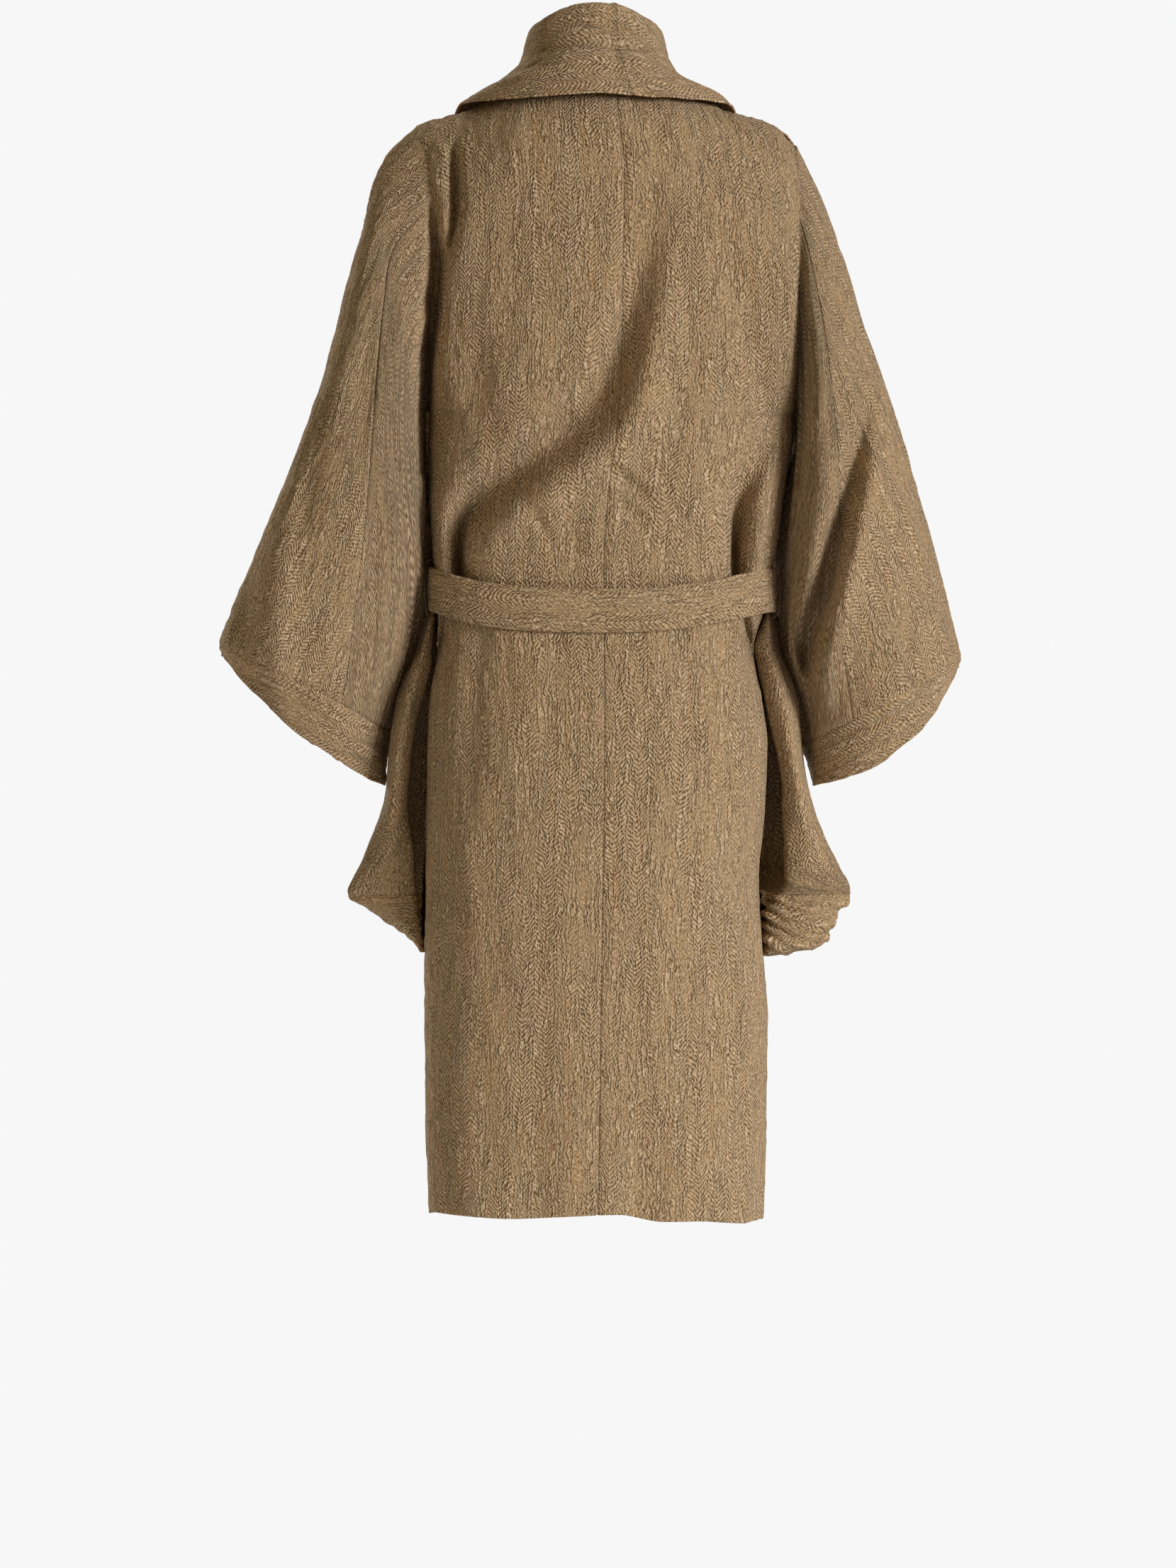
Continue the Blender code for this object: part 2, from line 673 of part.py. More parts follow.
def belt_outline(angle):
    """Point of the belt's inner face and its outward direction at an angle from the back."""
    row = Row(BELT_SIDE_HEIGHT, "back")
    front = Row(BELT_SIDE_HEIGHT, "front")
    facing = -1 if math.cos(angle) >= 0.0 else 1
    source = row if facing < 0 else front
    folded = math.asin(math.sin(angle))
    point = source.point(folded, facing)
    dip = BELT_BACK_DIP if facing < 0 else BELT_FRONT_DIP
    point.z = BELT_SIDE_HEIGHT - dip * math.cos(angle) ** 2
    outward = Vector((math.sin(folded), facing * math.cos(folded), 0.0))
    return point, outward


def belt_rows():
    """Sections of the belt all the way round, each a flat band with eased edges."""
    rows = []
    for k in range(BELT_STEPS):
        point, outward = belt_outline(2.0 * math.pi * k / BELT_STEPS)
        room = BELT_CLEARANCE + belt_relief(point)
        inner = point + outward * room
        outer = inner + outward * BELT_THICKNESS
        half = Vector((0.0, 0.0, BELT_WIDTH / 2.0))
        soft = Vector((0.0, 0.0, BELT_WIDTH / 2.0 - BELT_EDGE_EASE))
        middle = (inner + outer) / 2.0
        rows.append([inner + soft, middle + half, outer + soft, outer - soft, middle - half, inner - soft])
    return rows


def belt_relief(point):
    """Room that the belt leaves for the cloth that swells above and below it."""
    return BELT_BACK_RELIEF if point.y < 0.0 else BELT_FRONT_RELIEF


# Making the solids

def material(name, colour):
    """Matte cloth."""
    made = bpy.data.materials.new(name)
    made.use_nodes = True
    shader = made.node_tree.nodes["Principled BSDF"]
    shader.inputs["Base Color"].default_value = colour
    shader.inputs["Roughness"].default_value = CLOTH_ROUGHNESS
    shader.inputs["Metallic"].default_value = 0.0
    made.diffuse_color = colour
    return made


def place_mesh(name, points, faces, colour):
    """A mesh object shaded smooth, with its own material."""
    mesh = bpy.data.meshes.new(name)
    mesh.from_pydata([tuple(point) for point in points], [], faces)
    mesh.validate()
    mesh.shade_smooth()
    mesh.materials.append(material(name, colour))
    made = bpy.data.objects.new(name, mesh)
    bpy.context.scene.collection.objects.link(made)
    return made


def grid_normals(rows, closed, flip):
    """Unit normals of a grid of points, from its neighbours along and across."""
    last = len(rows) - 1
    width = len(rows[0])
    normals = []
    for i, line in enumerate(rows):
        found = []
        for k in range(width):
            along = rows[min(i + 1, last)][k] - rows[max(i - 1, 0)][k]
            ahead = (k + 1) % width if closed else min(k + 1, width - 1)
            behind = (k - 1) % width if closed else max(k - 1, 0)
            normal = along.cross(line[ahead] - line[behind]).normalized()
            found.append(-normal if flip else normal)
        normals.append(found)
    return normals


def pulled(rows, closed, first_gap):
    """The grid with its edges drawn in, to leave the gap of a seam."""
    drawn = [[point.copy() for point in line] for line in rows]
    last = len(rows) - 1
    for k in range(len(rows[0])):
        drawn[0][k] += (rows[1][k] - rows[0][k]).normalized() * first_gap
        drawn[last][k] += (rows[last - 1][k] - rows[last][k]).normalized() * SEAM_GAP
    if not closed:
        for i, line in enumerate(rows):
            drawn[i][0] += (line[1] - line[0]).normalized() * SEAM_GAP
            drawn[i][-1] += (line[-2] - line[-1]).normalized() * SEAM_GAP
    return drawn


def keep_side(rows, facing):
    """Hold a panel to its own side of the side and shoulder seams, behind (-1) or in front (1)."""
    for line in rows if facing else ():
        for point in line:
            point.y = facing * max(facing * point.y, SEAM_GAP / 2.0)


def wall(name, rows, normals, closed=False, flip=False, thickness=CLOTH, facing=0, first_gap=SEAM_GAP):
    """A panel of cloth: its outer face is the grid, its inner face lies one thickness inside."""
    outer = pulled(rows, closed, first_gap)
    inner = pulled([
        [point - normal * thickness for point, normal in zip(line, bearing)]
        for line, bearing in zip(rows, normals)
    ], closed, first_gap)
    keep_side(outer, facing)
    keep_side(inner, facing)
    width = len(rows[0])
    count = len(rows) * width
    points = [point for line in outer for point in line] + [point for line in inner for point in line]
    faces = []
    spans = width if closed else width - 1
    for i in range(len(rows) - 1):
        for k in range(spans):
            near = (k + 1) % width
            quad = [i * width + k, (i + 1) * width + k, (i + 1) * width + near, i * width + near]
            faces.append(quad)
            faces.append([count + corner for corner in reversed(quad)])
    top = (len(rows) - 1) * width
    for k in range(spans):
        near = (k + 1) % width
        faces += rim(k, near, count)
        faces += rim(top + k, top + near, count, True)
    if not closed:
        for i in range(len(rows) - 1):
            low = i * width
            end = low + width - 1
            faces += rim(low, low + width, count, True)
            faces += rim(end, end + width, count)
    if flip:
        faces = [list(reversed(face)) for face in faces]
    return place_mesh(name, points, faces, WOOL_COLOUR)


def rim(start, end, count, turned=False):
    """Two triangles along an edge of a wall, split the same way on both pieces that meet there."""
    faces = [[start, end, count + end], [start, count + end, count + start]]
    return [list(reversed(face)) for face in faces] if turned else faces


def panel(name, rows, flip, thickness=CLOTH, facing=0):
    """A panel with its own normals."""
    return wall(name, rows, grid_normals(rows, False, flip), False, flip, thickness, facing)


def make_body():
    """Two backs, which share one smooth surface, and two fronts."""
    halves = zip(back_rows(LEFT), back_rows(RIGHT))
    rows = [left[::-1] + right[1:] for left, right in halves]
    normals = grid_normals(rows, False, True)
    for name, part in (("back_left", slice(0, BACK_STEPS + 1)), ("back_right", slice(BACK_STEPS, None))):
        wall(name, [line[part] for line in rows], [line[part] for line in normals], False, True, CLOTH, -1)
    panel("front_left", front_rows(LEFT), False, CLOTH, 1)
    panel("front_right", front_rows(RIGHT), True, CLOTH, 1)


def make_sleeve(side, word):
    """Upper and under sleeve, split along two seams, and the cuff all the way round."""
    rows = sleeve_rows(side)
    flip = side == RIGHT
    normals = grid_normals(rows, True, flip)
    count = len(rows[0])
    seam_row = SLEEVE_STEPS
    upper = [k % count for k in range(count - SLEEVE_SEAM_COLUMN, count + SLEEVE_SEAM_COLUMN + 1)]
    under = list(range(SLEEVE_SEAM_COLUMN, count - SLEEVE_SEAM_COLUMN + 1))
    for name, columns in (("sleeve_upper_" + word, upper), ("sleeve_under_" + word, under)):
        part = [[line[k] for k in columns] for line in rows[:seam_row + 1]]
        bearing = [[line[k] for k in columns] for line in normals[:seam_row + 1]]
        wall(name, part, bearing, False, flip, CLOTH, 0, SLEEVE_GAP)
    wall("cuff_" + word, rows[seam_row:], normals[seam_row:], True, flip)


def make_collar():
    """Two halves, joined by a seam behind the neck."""
    panel("collar_left", collar_rows(LEFT), True, COLLAR_CLOTH)
    panel("collar_right", collar_rows(RIGHT), False, COLLAR_CLOTH)


def make_pocket(side, word):
    """The draped pocket panel and the panel under it."""
    rows = pocket_rows(side)
    upper = len(POCKETS[side])
    flip = side == LEFT
    normals = grid_normals(rows, False, flip)
    wall("pocket_" + word, rows[:upper], normals[:upper], False, flip)
    wall("pocket_base_" + word, rows[upper - 1:], normals[upper - 1:], False, flip)


def make_belt():
    """The belt as a band all the way round."""
    rows = belt_rows()
    width = len(rows[0])
    points = [point for line in rows for point in line]
    faces = []
    for i in range(BELT_STEPS):
        after = (i + 1) % BELT_STEPS
        for k in range(width):
            near = (k + 1) % width
            faces.append([i * width + k, i * width + near, after * width + near, after * width + k])
    place_mesh("belt", points, faces, WOOL_COLOUR)


def front_of_belt():
    """Outer face of the belt at the middle of the front."""
    point, outward = belt_outline(math.pi)
    return point + outward * (BELT_CLEARANCE + belt_relief(point) + BELT_THICKNESS)


def make_knot():
    """The flat knot in front of the belt."""
    face = front_of_belt()
    bpy.ops.mesh.primitive_cube_add(size=1.0)
    made = bpy.context.object
    made.name = "tie_knot"
    made.data.name = "tie_knot"
    for vertex in made.data.vertices:
        vertex.co = Vector([a * b for a, b in zip(vertex.co, KNOT_SIZE)])
    made.location = face + Vector((0.0, KNOT_SIZE[1] / 2.0 + SEAM_GAP, 0.0))
    bevel = made.modifiers.new("soft edges", "BEVEL")
    bevel.width = KNOT_BEVEL
    bevel.segments = KNOT_BEVEL_STEPS
    made.data.shade_smooth()
    made.data.materials.append(material("tie_knot", WOOL_COLOUR))


def make_tie_end(end):
    """One hanging end of the tie, a flat strip that follows the front below the knot."""
    top = front_of_belt().z - KNOT_SIZE[2] / 2.0 - TIE_END_GAP
    half = BELT_WIDTH / 2.0
    rows = []
    for share in spaced(0.0, 1.0, TIE_END_STEPS):
        height = top - end.length * share
        middle = end.top_across + (end.low_across - end.top_across) * share
        clear = front_of_belt().y - BELT_THICKNESS
        line = []
        for across in spaced(middle - half, middle + half, 2):
            point = front_point(LEFT, across, height)
            point.y = max(point.y, clear - TIE_END_SWING * share) + CLOTH + TIE_LIFT + TIE_END_THICKNESS
            point.z = height
            line.append(point)
        rows.append(line)
    panel(end.name, rows, True, TIE_END_THICKNESS)


def make_loop(side, word):
    """A thread loop outside the belt at a side seam."""
    point, outward = belt_outline(side * math.pi / 2.0)
    column = "left" if side == LEFT else "right"
    stand = abs(point.x) + BELT_CLEARANCE + belt_relief(point) + BELT_THICKNESS + LOOP_STAND
    spline_points = []
    for angle in spaced(-math.pi / 2.0, math.pi / 2.0, LOOP_STEPS):
        height = point.z + LOOP_HALF_HEIGHT * math.sin(angle)
        cloth = read(SECTIONS, column, height) + LOOP_THREAD + SEAM_GAP
        out = cloth + max(stand - cloth, 0.0) * max(math.cos(angle), 0.0) ** LOOP_FULLNESS
        spline_points.append(Vector((side * out, 0.0, height)))
    curve = bpy.data.curves.new("belt_loop_" + word, "CURVE")
    curve.dimensions = "3D"
    curve.bevel_depth = LOOP_THREAD
    curve.bevel_resolution = 1
    curve.use_fill_caps = True
    spline = curve.splines.new("POLY")
    spline.points.add(len(spline_points) - 1)
    for slot, place in zip(spline.points, spline_points):
        slot.co = (place.x, place.y, place.z, 1.0)
    curve.materials.append(material("belt_loop_" + word, THREAD_COLOUR))
    made = bpy.data.objects.new("belt_loop_" + word, curve)
    bpy.context.scene.collection.objects.link(made)


def main():
    """Clear the scene and make every piece."""
    for old in list(bpy.data.objects):
        bpy.data.objects.remove(old, do_unlink=True)
    make_body()
    make_collar()
    for side, word in ((LEFT, "left"), (RIGHT, "right")):
        make_sleeve(side, word)
        make_pocket(side, word)
        make_loop(side, word)
    make_belt()
    make_knot()
    for end in TIE_ENDS:
        make_tie_end(end)


main()
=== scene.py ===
"""Looks of a long belted wrap coat of crinkled herringbone wool, worn and empty.

Every panel is a thin shell on the form of its solid, drawn again here from the same named sizes on a fine
grid, with its folds placed one by one. Metres, +Z up; the back faces -Y, so +X is the wearer's right.
"""
import logging
import math
from dataclasses import dataclass, field
from enum import Enum, IntEnum
from typing import NamedTuple, Sequence, Union

import bpy
import numpy as np
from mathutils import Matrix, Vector

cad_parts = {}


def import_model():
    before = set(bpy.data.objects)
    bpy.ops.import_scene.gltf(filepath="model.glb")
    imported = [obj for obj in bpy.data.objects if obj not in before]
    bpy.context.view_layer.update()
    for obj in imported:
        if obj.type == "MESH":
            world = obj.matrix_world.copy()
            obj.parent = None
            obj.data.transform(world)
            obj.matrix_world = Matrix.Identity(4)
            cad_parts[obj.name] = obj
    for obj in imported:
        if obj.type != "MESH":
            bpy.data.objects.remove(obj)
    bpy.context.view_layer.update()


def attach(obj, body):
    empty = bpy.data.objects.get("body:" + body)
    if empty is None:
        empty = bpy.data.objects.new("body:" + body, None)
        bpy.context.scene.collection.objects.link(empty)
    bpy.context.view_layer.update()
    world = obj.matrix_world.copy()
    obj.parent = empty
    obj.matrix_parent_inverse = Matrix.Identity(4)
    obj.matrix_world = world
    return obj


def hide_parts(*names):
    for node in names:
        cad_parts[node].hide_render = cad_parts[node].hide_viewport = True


LOG = logging.getLogger("coat")
BODY = "root"
Array = np.ndarray
Number = Union[float, Array]

# Driving sizes of the coat
CLOTH = 0.0025
COLLAR_CLOTH = 0.003
HEM_HEIGHT = -1.240
HEM_TILT = -0.018
UNDERARM_HEIGHT = -0.340
SHOULDER_DROP = 0.130
FLATNESS = 2.35
NECK_HALF_WIDTH = 0.086
NECK_DEPTH = 0.070
ARMHOLE_DEPTH = 0.076
ARMHOLE_SHARE = 0.95
LEAST_SHARE = 0.3
NO_DEPTH = 1e-6
SETTLE_STEPS = 8
HALVINGS = 40
MILLIMETRES = 1000.0
NO_LENGTH = 1e-5
TINY = 1e-9
FULL_TURN = 2.0 * math.pi
QUARTER_TURN = math.pi / 2.0

# Grid steps of the cloth
FINE_STEP = 0.004
PLAIN_STEP = 0.005
SEAM_STEPS = (0.0012, 0.0026)

# Cloth beside a seam: the crinkle fades, the stitching draws it in, and it puffs up a little further off
CRINKLE_FADE = 0.014
SEAM_DIP = 0.0008
SEAM_DIP_WIDTH = 0.0022
SEAM_PUFF = 0.0006
SEAM_PUFF_PLACE = 0.006
SEAM_PUFF_WIDTH = 0.0035
FAINT_SEAM = 0.0010


class Side(IntEnum):
    """The wearer's left or right, as the sign of X."""

    LEFT = -1
    RIGHT = 1

    @property
    def word(self) -> str:
        """The side's name as the nodes write it."""
        return self.name.lower()


class Facing(IntEnum):
    """Behind or in front, as the sign of Y."""

    BACK = -1
    FRONT = 1


class Edge(Enum):
    """The four edges of a panel's grid."""

    FIRST_ROW = "first row"
    LAST_ROW = "last row"
    FIRST_COLUMN = "first column"
    LAST_COLUMN = "last column"


class Held(Enum):
    """How a sheet of cloth is held."""

    HUNG = "hung"
    DRAPED = "draped"
    GATHERED = "gathered"
    FOLDED = "folded"
    STRETCHED = "stretched"


class Slot(Enum):
    """Material slots."""

    WOOL = "wool"
    THREAD = "thread"


class Section(NamedTuple):
    """A level section of the body: half-widths to the left and right, depths behind and in front."""

    height: float
    left: float
    right: float
    back: float
    front: float


class Ring(NamedTuple):
    """A slanting ring of a sleeve: outer and inner points, forward lean, depths and the back's sag."""

    outer_x: float
    outer_z: float
    inner_x: float
    inner_z: float
    forward: float
    back: float
    front: float
    sag: float


class Station(NamedTuple):
    """A section of the collar: foot of the stand, top of the roll, a point of the fall, the free edge."""

    base: tuple
    roll: tuple
    fall: tuple
    edge: tuple


class Lapel(NamedTuple):
    """How far a lapel folds past the front's edge, the width it shows and its lift off the front."""

    height: float
    past: float
    width: float
    lift: float


class PocketLevel(NamedTuple):
    """A level of a draped pocket: reach from the middle, bulge behind, and stand-off of its front."""

    height: float
    reach: float
    bulge: float
    mouth: float


class Pleat(NamedTuple):
    """A level of the pleat behind a pocket: distance out of the roll's inner edge, and depth forward."""

    height: float
    inner: float
    depth: float


class FoldPoint(NamedTuple):
    """A point of a fold's path: its place, how deep it presses in (less than 0 for a ridge), half-width."""

    across: float
    height: float
    depth: float
    reach: float


class Place(NamedTuple):
    """A point of a plain curve: where it is along its table, and its value there."""

    key: float
    value: float


def metres(row: Sequence[float]) -> tuple:
    """A row of millimetres in metres."""
    return tuple(size / MILLIMETRES for size in row)


def table(kind: type, *rows: Sequence[float]) -> tuple:
    """Named rows in metres from rows in millimetres."""
    return tuple(kind(*metres(row)) for row in rows)


# All the tables below are in millimetres
SECTIONS = table(
    Section,
    (-1240, 188, 189, 118, 122), (-1100, 192, 193, 120, 122), (-1000, 192, 193, 124, 122),
    (-930, 192, 188, 127, 121), (-860, 191, 184, 130, 120), (-780, 190, 191, 131, 119),
    (-710, 189, 194, 128, 118), (-650, 185, 186, 120, 116), (-600, 177.5, 178, 108, 112),
    (-545, 178.5, 192.5, 100.5, 110), (-490, 184, 202, 112, 117), (-430, 187, 212, 122, 126),
    (-340, 189, 226, 124, 132), (-250, 187, 229, 122, 132), (-150, 185, 230, 119, 126),
    (-50, 190, 230, 114, 118), (-14, 205, 228, 110, 114),
)

# Top line of the shoulders: distance out and height
RIDGE = table(
    Place,
    (0, 62), (85, 40), (150, 5), (186, -4), (205, -13.5), (221, -28), (232, -41),
)

# Centre back seam: height and place across
CENTRE_SEAM = table(
    Place,
    (-1240, 3), (-1000, 6), (-660, 10), (-510, 9), (-280, 29), (-50, 32), (62, 24),
)

# Each front's free edge: height, and how far it passes the middle
FRONT_EDGE = table(
    Place,
    (-1240, 100), (-560, 85), (-400, 20), (-300, -14), (-200, -40), (-100, -62), (0, -80), (40, -86),
)

# The hem's small waves, seen from behind: place across and lift
HEM_WAVE = table(
    Place,
    (-200, 4), (-150, 0), (-100, -2), (-45, 1), (28, 5), (74, -2), (120, -1), (165, -3), (190, 2),
)

# Rings of the sleeves from the armhole to the band's seam, and the bands' openings
SLEEVES = {
    Side.LEFT: table(
        Ring,
        (-244, -60, -190.5, -395, 0, 86, 84, 0), (-263, -124, -191.5, -430, 0, 93, 90, 0),
        (-285, -215, -192.5, -470, 2, 98, 95, 0), (-314, -316, -193.5, -510, 6, 100, 96, 0),
        (-350, -412, -200, -550, 12, 99, 94, 0), (-390, -508, -212, -600, 22, 95, 90, -1),
        (-416, -572, -227, -650, 32, 89, 86, -3), (-426, -597, -239, -690, 38, 84, 82, -4),
    ),
    Side.RIGHT: table(
        Ring,
        (247, -75, 226, -380, 0, 86, 84, 0), (270, -136, 222.5, -410, 0, 93, 90, 0),
        (297, -216, 219, -448, 2, 98, 95, 0), (331, -316, 216, -492, 6, 100, 96, 0),
        (361, -412, 214, -545, 12, 99, 94, 2), (388, -508, 216, -598, 22, 95, 90, 4),
        (405, -575, 231, -645, 32, 89, 86, 6), (414, -610, 243, -704, 38, 84, 82, 3),
    ),
}
CUFF_OPENINGS = {
    Side.LEFT: Ring(*metres((-422.5, -607, -238.5, -754, 52, 70, 66, 15))),
    Side.RIGHT: Ring(*metres((410, -624, 247, -754, 52, 70, 66, 28))),
}

# The collar from the centre back to the front, then down each lapel
COLLAR_STATIONS = tuple(Station(*map(metres, row)) for row in (
    ((0, -70, 40), (0, -64, 124.5), (0, -82, 74), (0, -103, 23)),
    ((32, -64, 40), (30, -58, 121.5), (37, -76, 73), (60, -91, 20)),
    ((58, -46, 40), (55, -42, 118.5), (67, -53, 70), (110, -66, 17)),
    ((76, -18, 40), (68, -14, 112.5), (80, -19, 67), (141, -34, 15)),
    ((80, 18, 36), (70, 18, 103), (85, 18, 62), (153, 8, 12)),
    ((78, 58, 18), (62, 62, 76), (88, 66, 40), (162, 70, -12)),
    ((73, 90, -20), (56, 100, 20), (90, 104, -12), (164, 106, -70)),
))
LAPELS = table(
    Lapel,
    (-505, 10, 30, 6.5), (-450, 11, 60, 6.8), (-380, 12, 80, 7), (-300, 13, 92, 7.5), (-220, 14, 98, 8),
    (-150, 16, 100, 9), (-90, 18, 100, 11),
)
LAPEL_LEVELS = {
    Side.LEFT: metres((-90, -150, -220, -300, -380, -450, -500)),
    Side.RIGHT: metres((-90, -150, -220, -290, -350, -400)),
}

# The draped pockets, and their tops, drawn in under the belt
POCKETS = {
    Side.LEFT: table(
        PocketLevel,
        (-570, 190, 14, 46), (-600, 199.5, 18, 47), (-633, 215, 22, 48), (-682, 227, 24, 49),
        (-730, 234, 24, 50), (-764, 238, 22, 51), (-800, 247.5, 18, 52), (-840, 262, 12, 52),
        (-878, 278, 6, 52),
    ),
    Side.RIGHT: table(
        PocketLevel,
        (-570, 199, 14, 46), (-600, 204, 18, 47), (-633, 216, 22, 48), (-682, 227, 24, 49),
        (-730, 234, 24, 50), (-764, 241, 22, 51), (-800, 253, 18, 52), (-840, 271, 12, 52),
        (-878, 286, 6, 52),
    ),
}
POCKET_TOPS = {
    Side.LEFT: PocketLevel(*metres((-549, 183, 3, 4))),
    Side.RIGHT: PocketLevel(*metres((-549, 196.5, 3, 4))),
}

# The deep pleat between each pocket's roll and the body: how far out the roll begins, and depth
POCKET_PLEATS = {
    Side.LEFT: table(
        Pleat,
        (-941, 193, 6), (-878, 200, 16), (-824, 206, 36), (-778, 213, 56), (-730, 209.6, 62),
        (-682, 202.4, 60), (-620, 186, 46), (-570, 180, 22), (-549, 179.5, 6),
    ),
    Side.RIGHT: table(
        Pleat,
        (-945, 190, 6), (-897, 190, 7), (-880, 200, 16), (-866, 212, 50), (-840, 215, 70),
        (-767, 214, 72), (-732, 209, 70), (-698, 201, 66), (-663, 194, 60), (-628, 186, 52),
        (-594, 181, 38), (-570, 187, 20), (-549, 193.5, 6),
    ),
}

# The gathered panels under the pockets
POCKET_BASES = {
    Side.LEFT: table(
        PocketLevel,
        (-900, 246, 8, 42), (-922, 216, 8, 26), (-941, 198.5, 4, 8),
    ),
    Side.RIGHT: table(
        PocketLevel,
        (-908, 272, 10, 44), (-934, 244, 10, 30), (-945, 198.5, 4, 8),
    ),
}

# Folds by where they lie, seen from behind or in front, as fold points
BACK_FOLDS = {
    "diagonal trough": (
        (-152, -540, 12, 14), (-150, -465, 28, 18), (-120, -423, 32, 22), (-76, -391, 34, 23),
        (-33, -359, 34, 24), (3, -326, 32, 24), (24, -276, 27, 23), (40, -216, 20, 22),
        (53, -160, 13, 21), (66, -105, 5, 20), (76, -70, 0, 20),
    ),
    "bulge beside the trough": (
        (94, -110, 0, 20), (80, -190, -6, 21), (65, -270, -12, 23), (44, -340, -16, 24),
        (0, -388, -17, 24), (-50, -422, -15, 23), (-96, -455, -10, 20), (-128, -490, -3, 15),
    ),
    "waist wrinkle": (
        (14, -376, 0, 6), (20, -398, 4, 7), (36, -416, 5.6, 7.5), (58, -432, 4, 7), (74, -456, 0, 6),
    ),
    "roll of the waist wrinkle": (
        (26, -384, 0, 7), (44, -404, -3.6, 7), (66, -420, -4, 7), (88, -448, 0, 7),
    ),
    "second waist wrinkle": (
        (16, -420, 0, 6), (28, -438, 4.4, 6.5), (50, -454, 4.6, 6.5), (62, -480, 0, 6),
    ),
    "third waist wrinkle": (
        (-90, -430, 0, 6), (-70, -446, 4.2, 6.5), (-54, -472, 5, 7), (-47, -498, 3, 6),
        (-46, -516, 0, 6),
    ),
    "short waist wrinkle": ((78, -430, 0, 6), (90, -446, 4.4, 7), (108, -462, 0, 6)),
    "low waist wrinkle": ((-34, -458, 0, 6), (-22, -480, 3.6, 6.5), (-18, -512, 0, 6)),
    "right trough": (
        (160, -540, 12, 14), (160, -470, 24, 20), (166, -425, 20, 24), (190, -375, 14, 26),
        (215, -330, 0, 26),
    ),
    "left roll's crease": (
        (-152, -530, 30, 5.5), (-153, -490, 34, 6), (-146, -455, 22, 9), (-118, -428, 6, 16),
        (-90, -410, 0, 18),
    ),
    "left roll": (
        (-174, -515, -12, 12), (-175, -465, -13, 14), (-173, -412, -5, 16), (-170, -360, 0, 16),
    ),
    "right roll's crease": (
        (157, -530, 30, 6), (157, -480, 34, 6.5), (160, -440, 22, 10), (172, -400, 8, 14),
        (188, -364, 0, 14),
    ),
    "right roll": (
        (181, -515, -12, 13), (186, -455, -12, 14), (202, -390, -8, 14), (214, -330, -4, 14),
        (219, -260, 0, 14),
    ),
    "left armhole": (
        (-180, -85, 0, 6), (-181, -116, 18, 6), (-178, -170, 54, 7.5), (-183, -221, 66, 8),
        (-189, -278, 66, 8), (-192, -335, 56, 7.5), (-193, -400, 26, 6),
    ),
    "left shoulder tuck": (
        (-160, -26, 0, 6), (-158, -56, 22, 6.5), (-157, -110, 32, 7), (-163, -150, 18, 6),
        (-172, -180, 0, 5),
    ),
    "right armhole": (
        (230, -100, 0, 5), (231, -170, 7, 6), (233, -230, 20, 7.5), (232, -300, 32, 8),
        (229, -360, 34, 8), (224, -410, 18, 8),
    ),
    "right armhole's lip": (
        (222, -100, 0, 6), (223, -200, -4, 6), (222, -300, -5, 7), (219, -360, -3, 7),
    ),
    "left skirt hollow": ((-80, -1260, 6, 30), (-78, -1120, 4, 34), (-70, -950, 0, 36)),
    "middle skirt hollow": ((50, -1260, 8, 24), (46, -1130, 5, 30), (36, -960, 0, 34)),
    "right skirt ridge": (
        (186, -1100, 0, 8), (180, -1050, -5, 10), (166, -990, -4, 10), (160, -940, 0, 10),
    ),
    "left hip crease": (
        (-166, -556, 20, 5), (-171.5, -584, 26, 5), (-178, -605, 16, 5), (-184, -632, 0, 5),
    ),
    "right hip crease": (
        (166, -556, 20, 5), (170, -576, 26, 5), (176.5, -602, 22, 5), (182, -630, 10, 5),
        (187, -654, 0, 5),
    ),
    "left hip hollow": ((-128, -585, 4, 12), (-138, -680, 4, 18), (-140, -800, 0, 22)),
    "middle hip hollow": ((-40, -590, 3, 12), (-46, -660, 2, 18), (-50, -740, 0, 22)),
    "right hip hollow": ((92, -585, 3, 12), (104, -670, 3, 16), (112, -780, 0, 20)),
    "left blade": ((-140, -210, 3, 14), (-128, -320, 5, 16), (-120, -400, 0, 16)),
    "right blade": ((150, -150, 0, 20), (166, -230, 6, 18), (186, -310, 8, 14), (196, -350, 0, 12)),
}
SLEEVE_FOLDS = {
    "right inner trough": (
        (318, -290, 0, 10), (301, -345, 14, 11), (288, -405, 27, 12), (273, -470, 37, 12),
        (256, -535, 44, 12), (239, -590, 47, 12), (225, -640, 46, 12),
    ),
    "right inner tube": ((258, -380, -4, 15), (249, -460, -10, 14), (233, -560, -10, 11)),
    "right outer ridge": (
        (332, -350, 0, 18), (310, -420, -12, 18), (293, -490, -19, 18), (275, -555, -22, 18),
        (260, -610, -22, 18), (249, -660, -12, 16),
    ),
    "right elbow hollow": ((300, -240, 0, 12), (286, -300, 6, 14), (270, -350, 0, 14)),
    "right corner hollow": ((392, -560, 5, 20), (360, -520, 6, 22), (330, -480, 0, 22)),
    "left warm line": (
        (-246, -400, 0, 12), (-248, -470, 8, 14), (-252, -540, 7, 15), (-262, -610, 0, 16),
    ),
    "left corner ridge": (
        (-344, -404, -2, 16), (-352, -470, -8, 20), (-361, -550, -13, 24), (-364, -605, -12, 24),
        (-354, -655, -5, 20),
    ),
    "left corner hollow": ((-384, -500, 0, 14), (-396, -570, 10, 16), (-384, -630, 8, 16)),
    "left upper hollow": (
        (-230, -160, 0, 14), (-250, -260, 6, 16), (-276, -360, 4, 18), (-300, -440, 0, 18),
    ),
    "left outer hollow": ((-296, -300, 0, 12), (-322, -420, 6, 14), (-340, -520, 0, 16)),
}
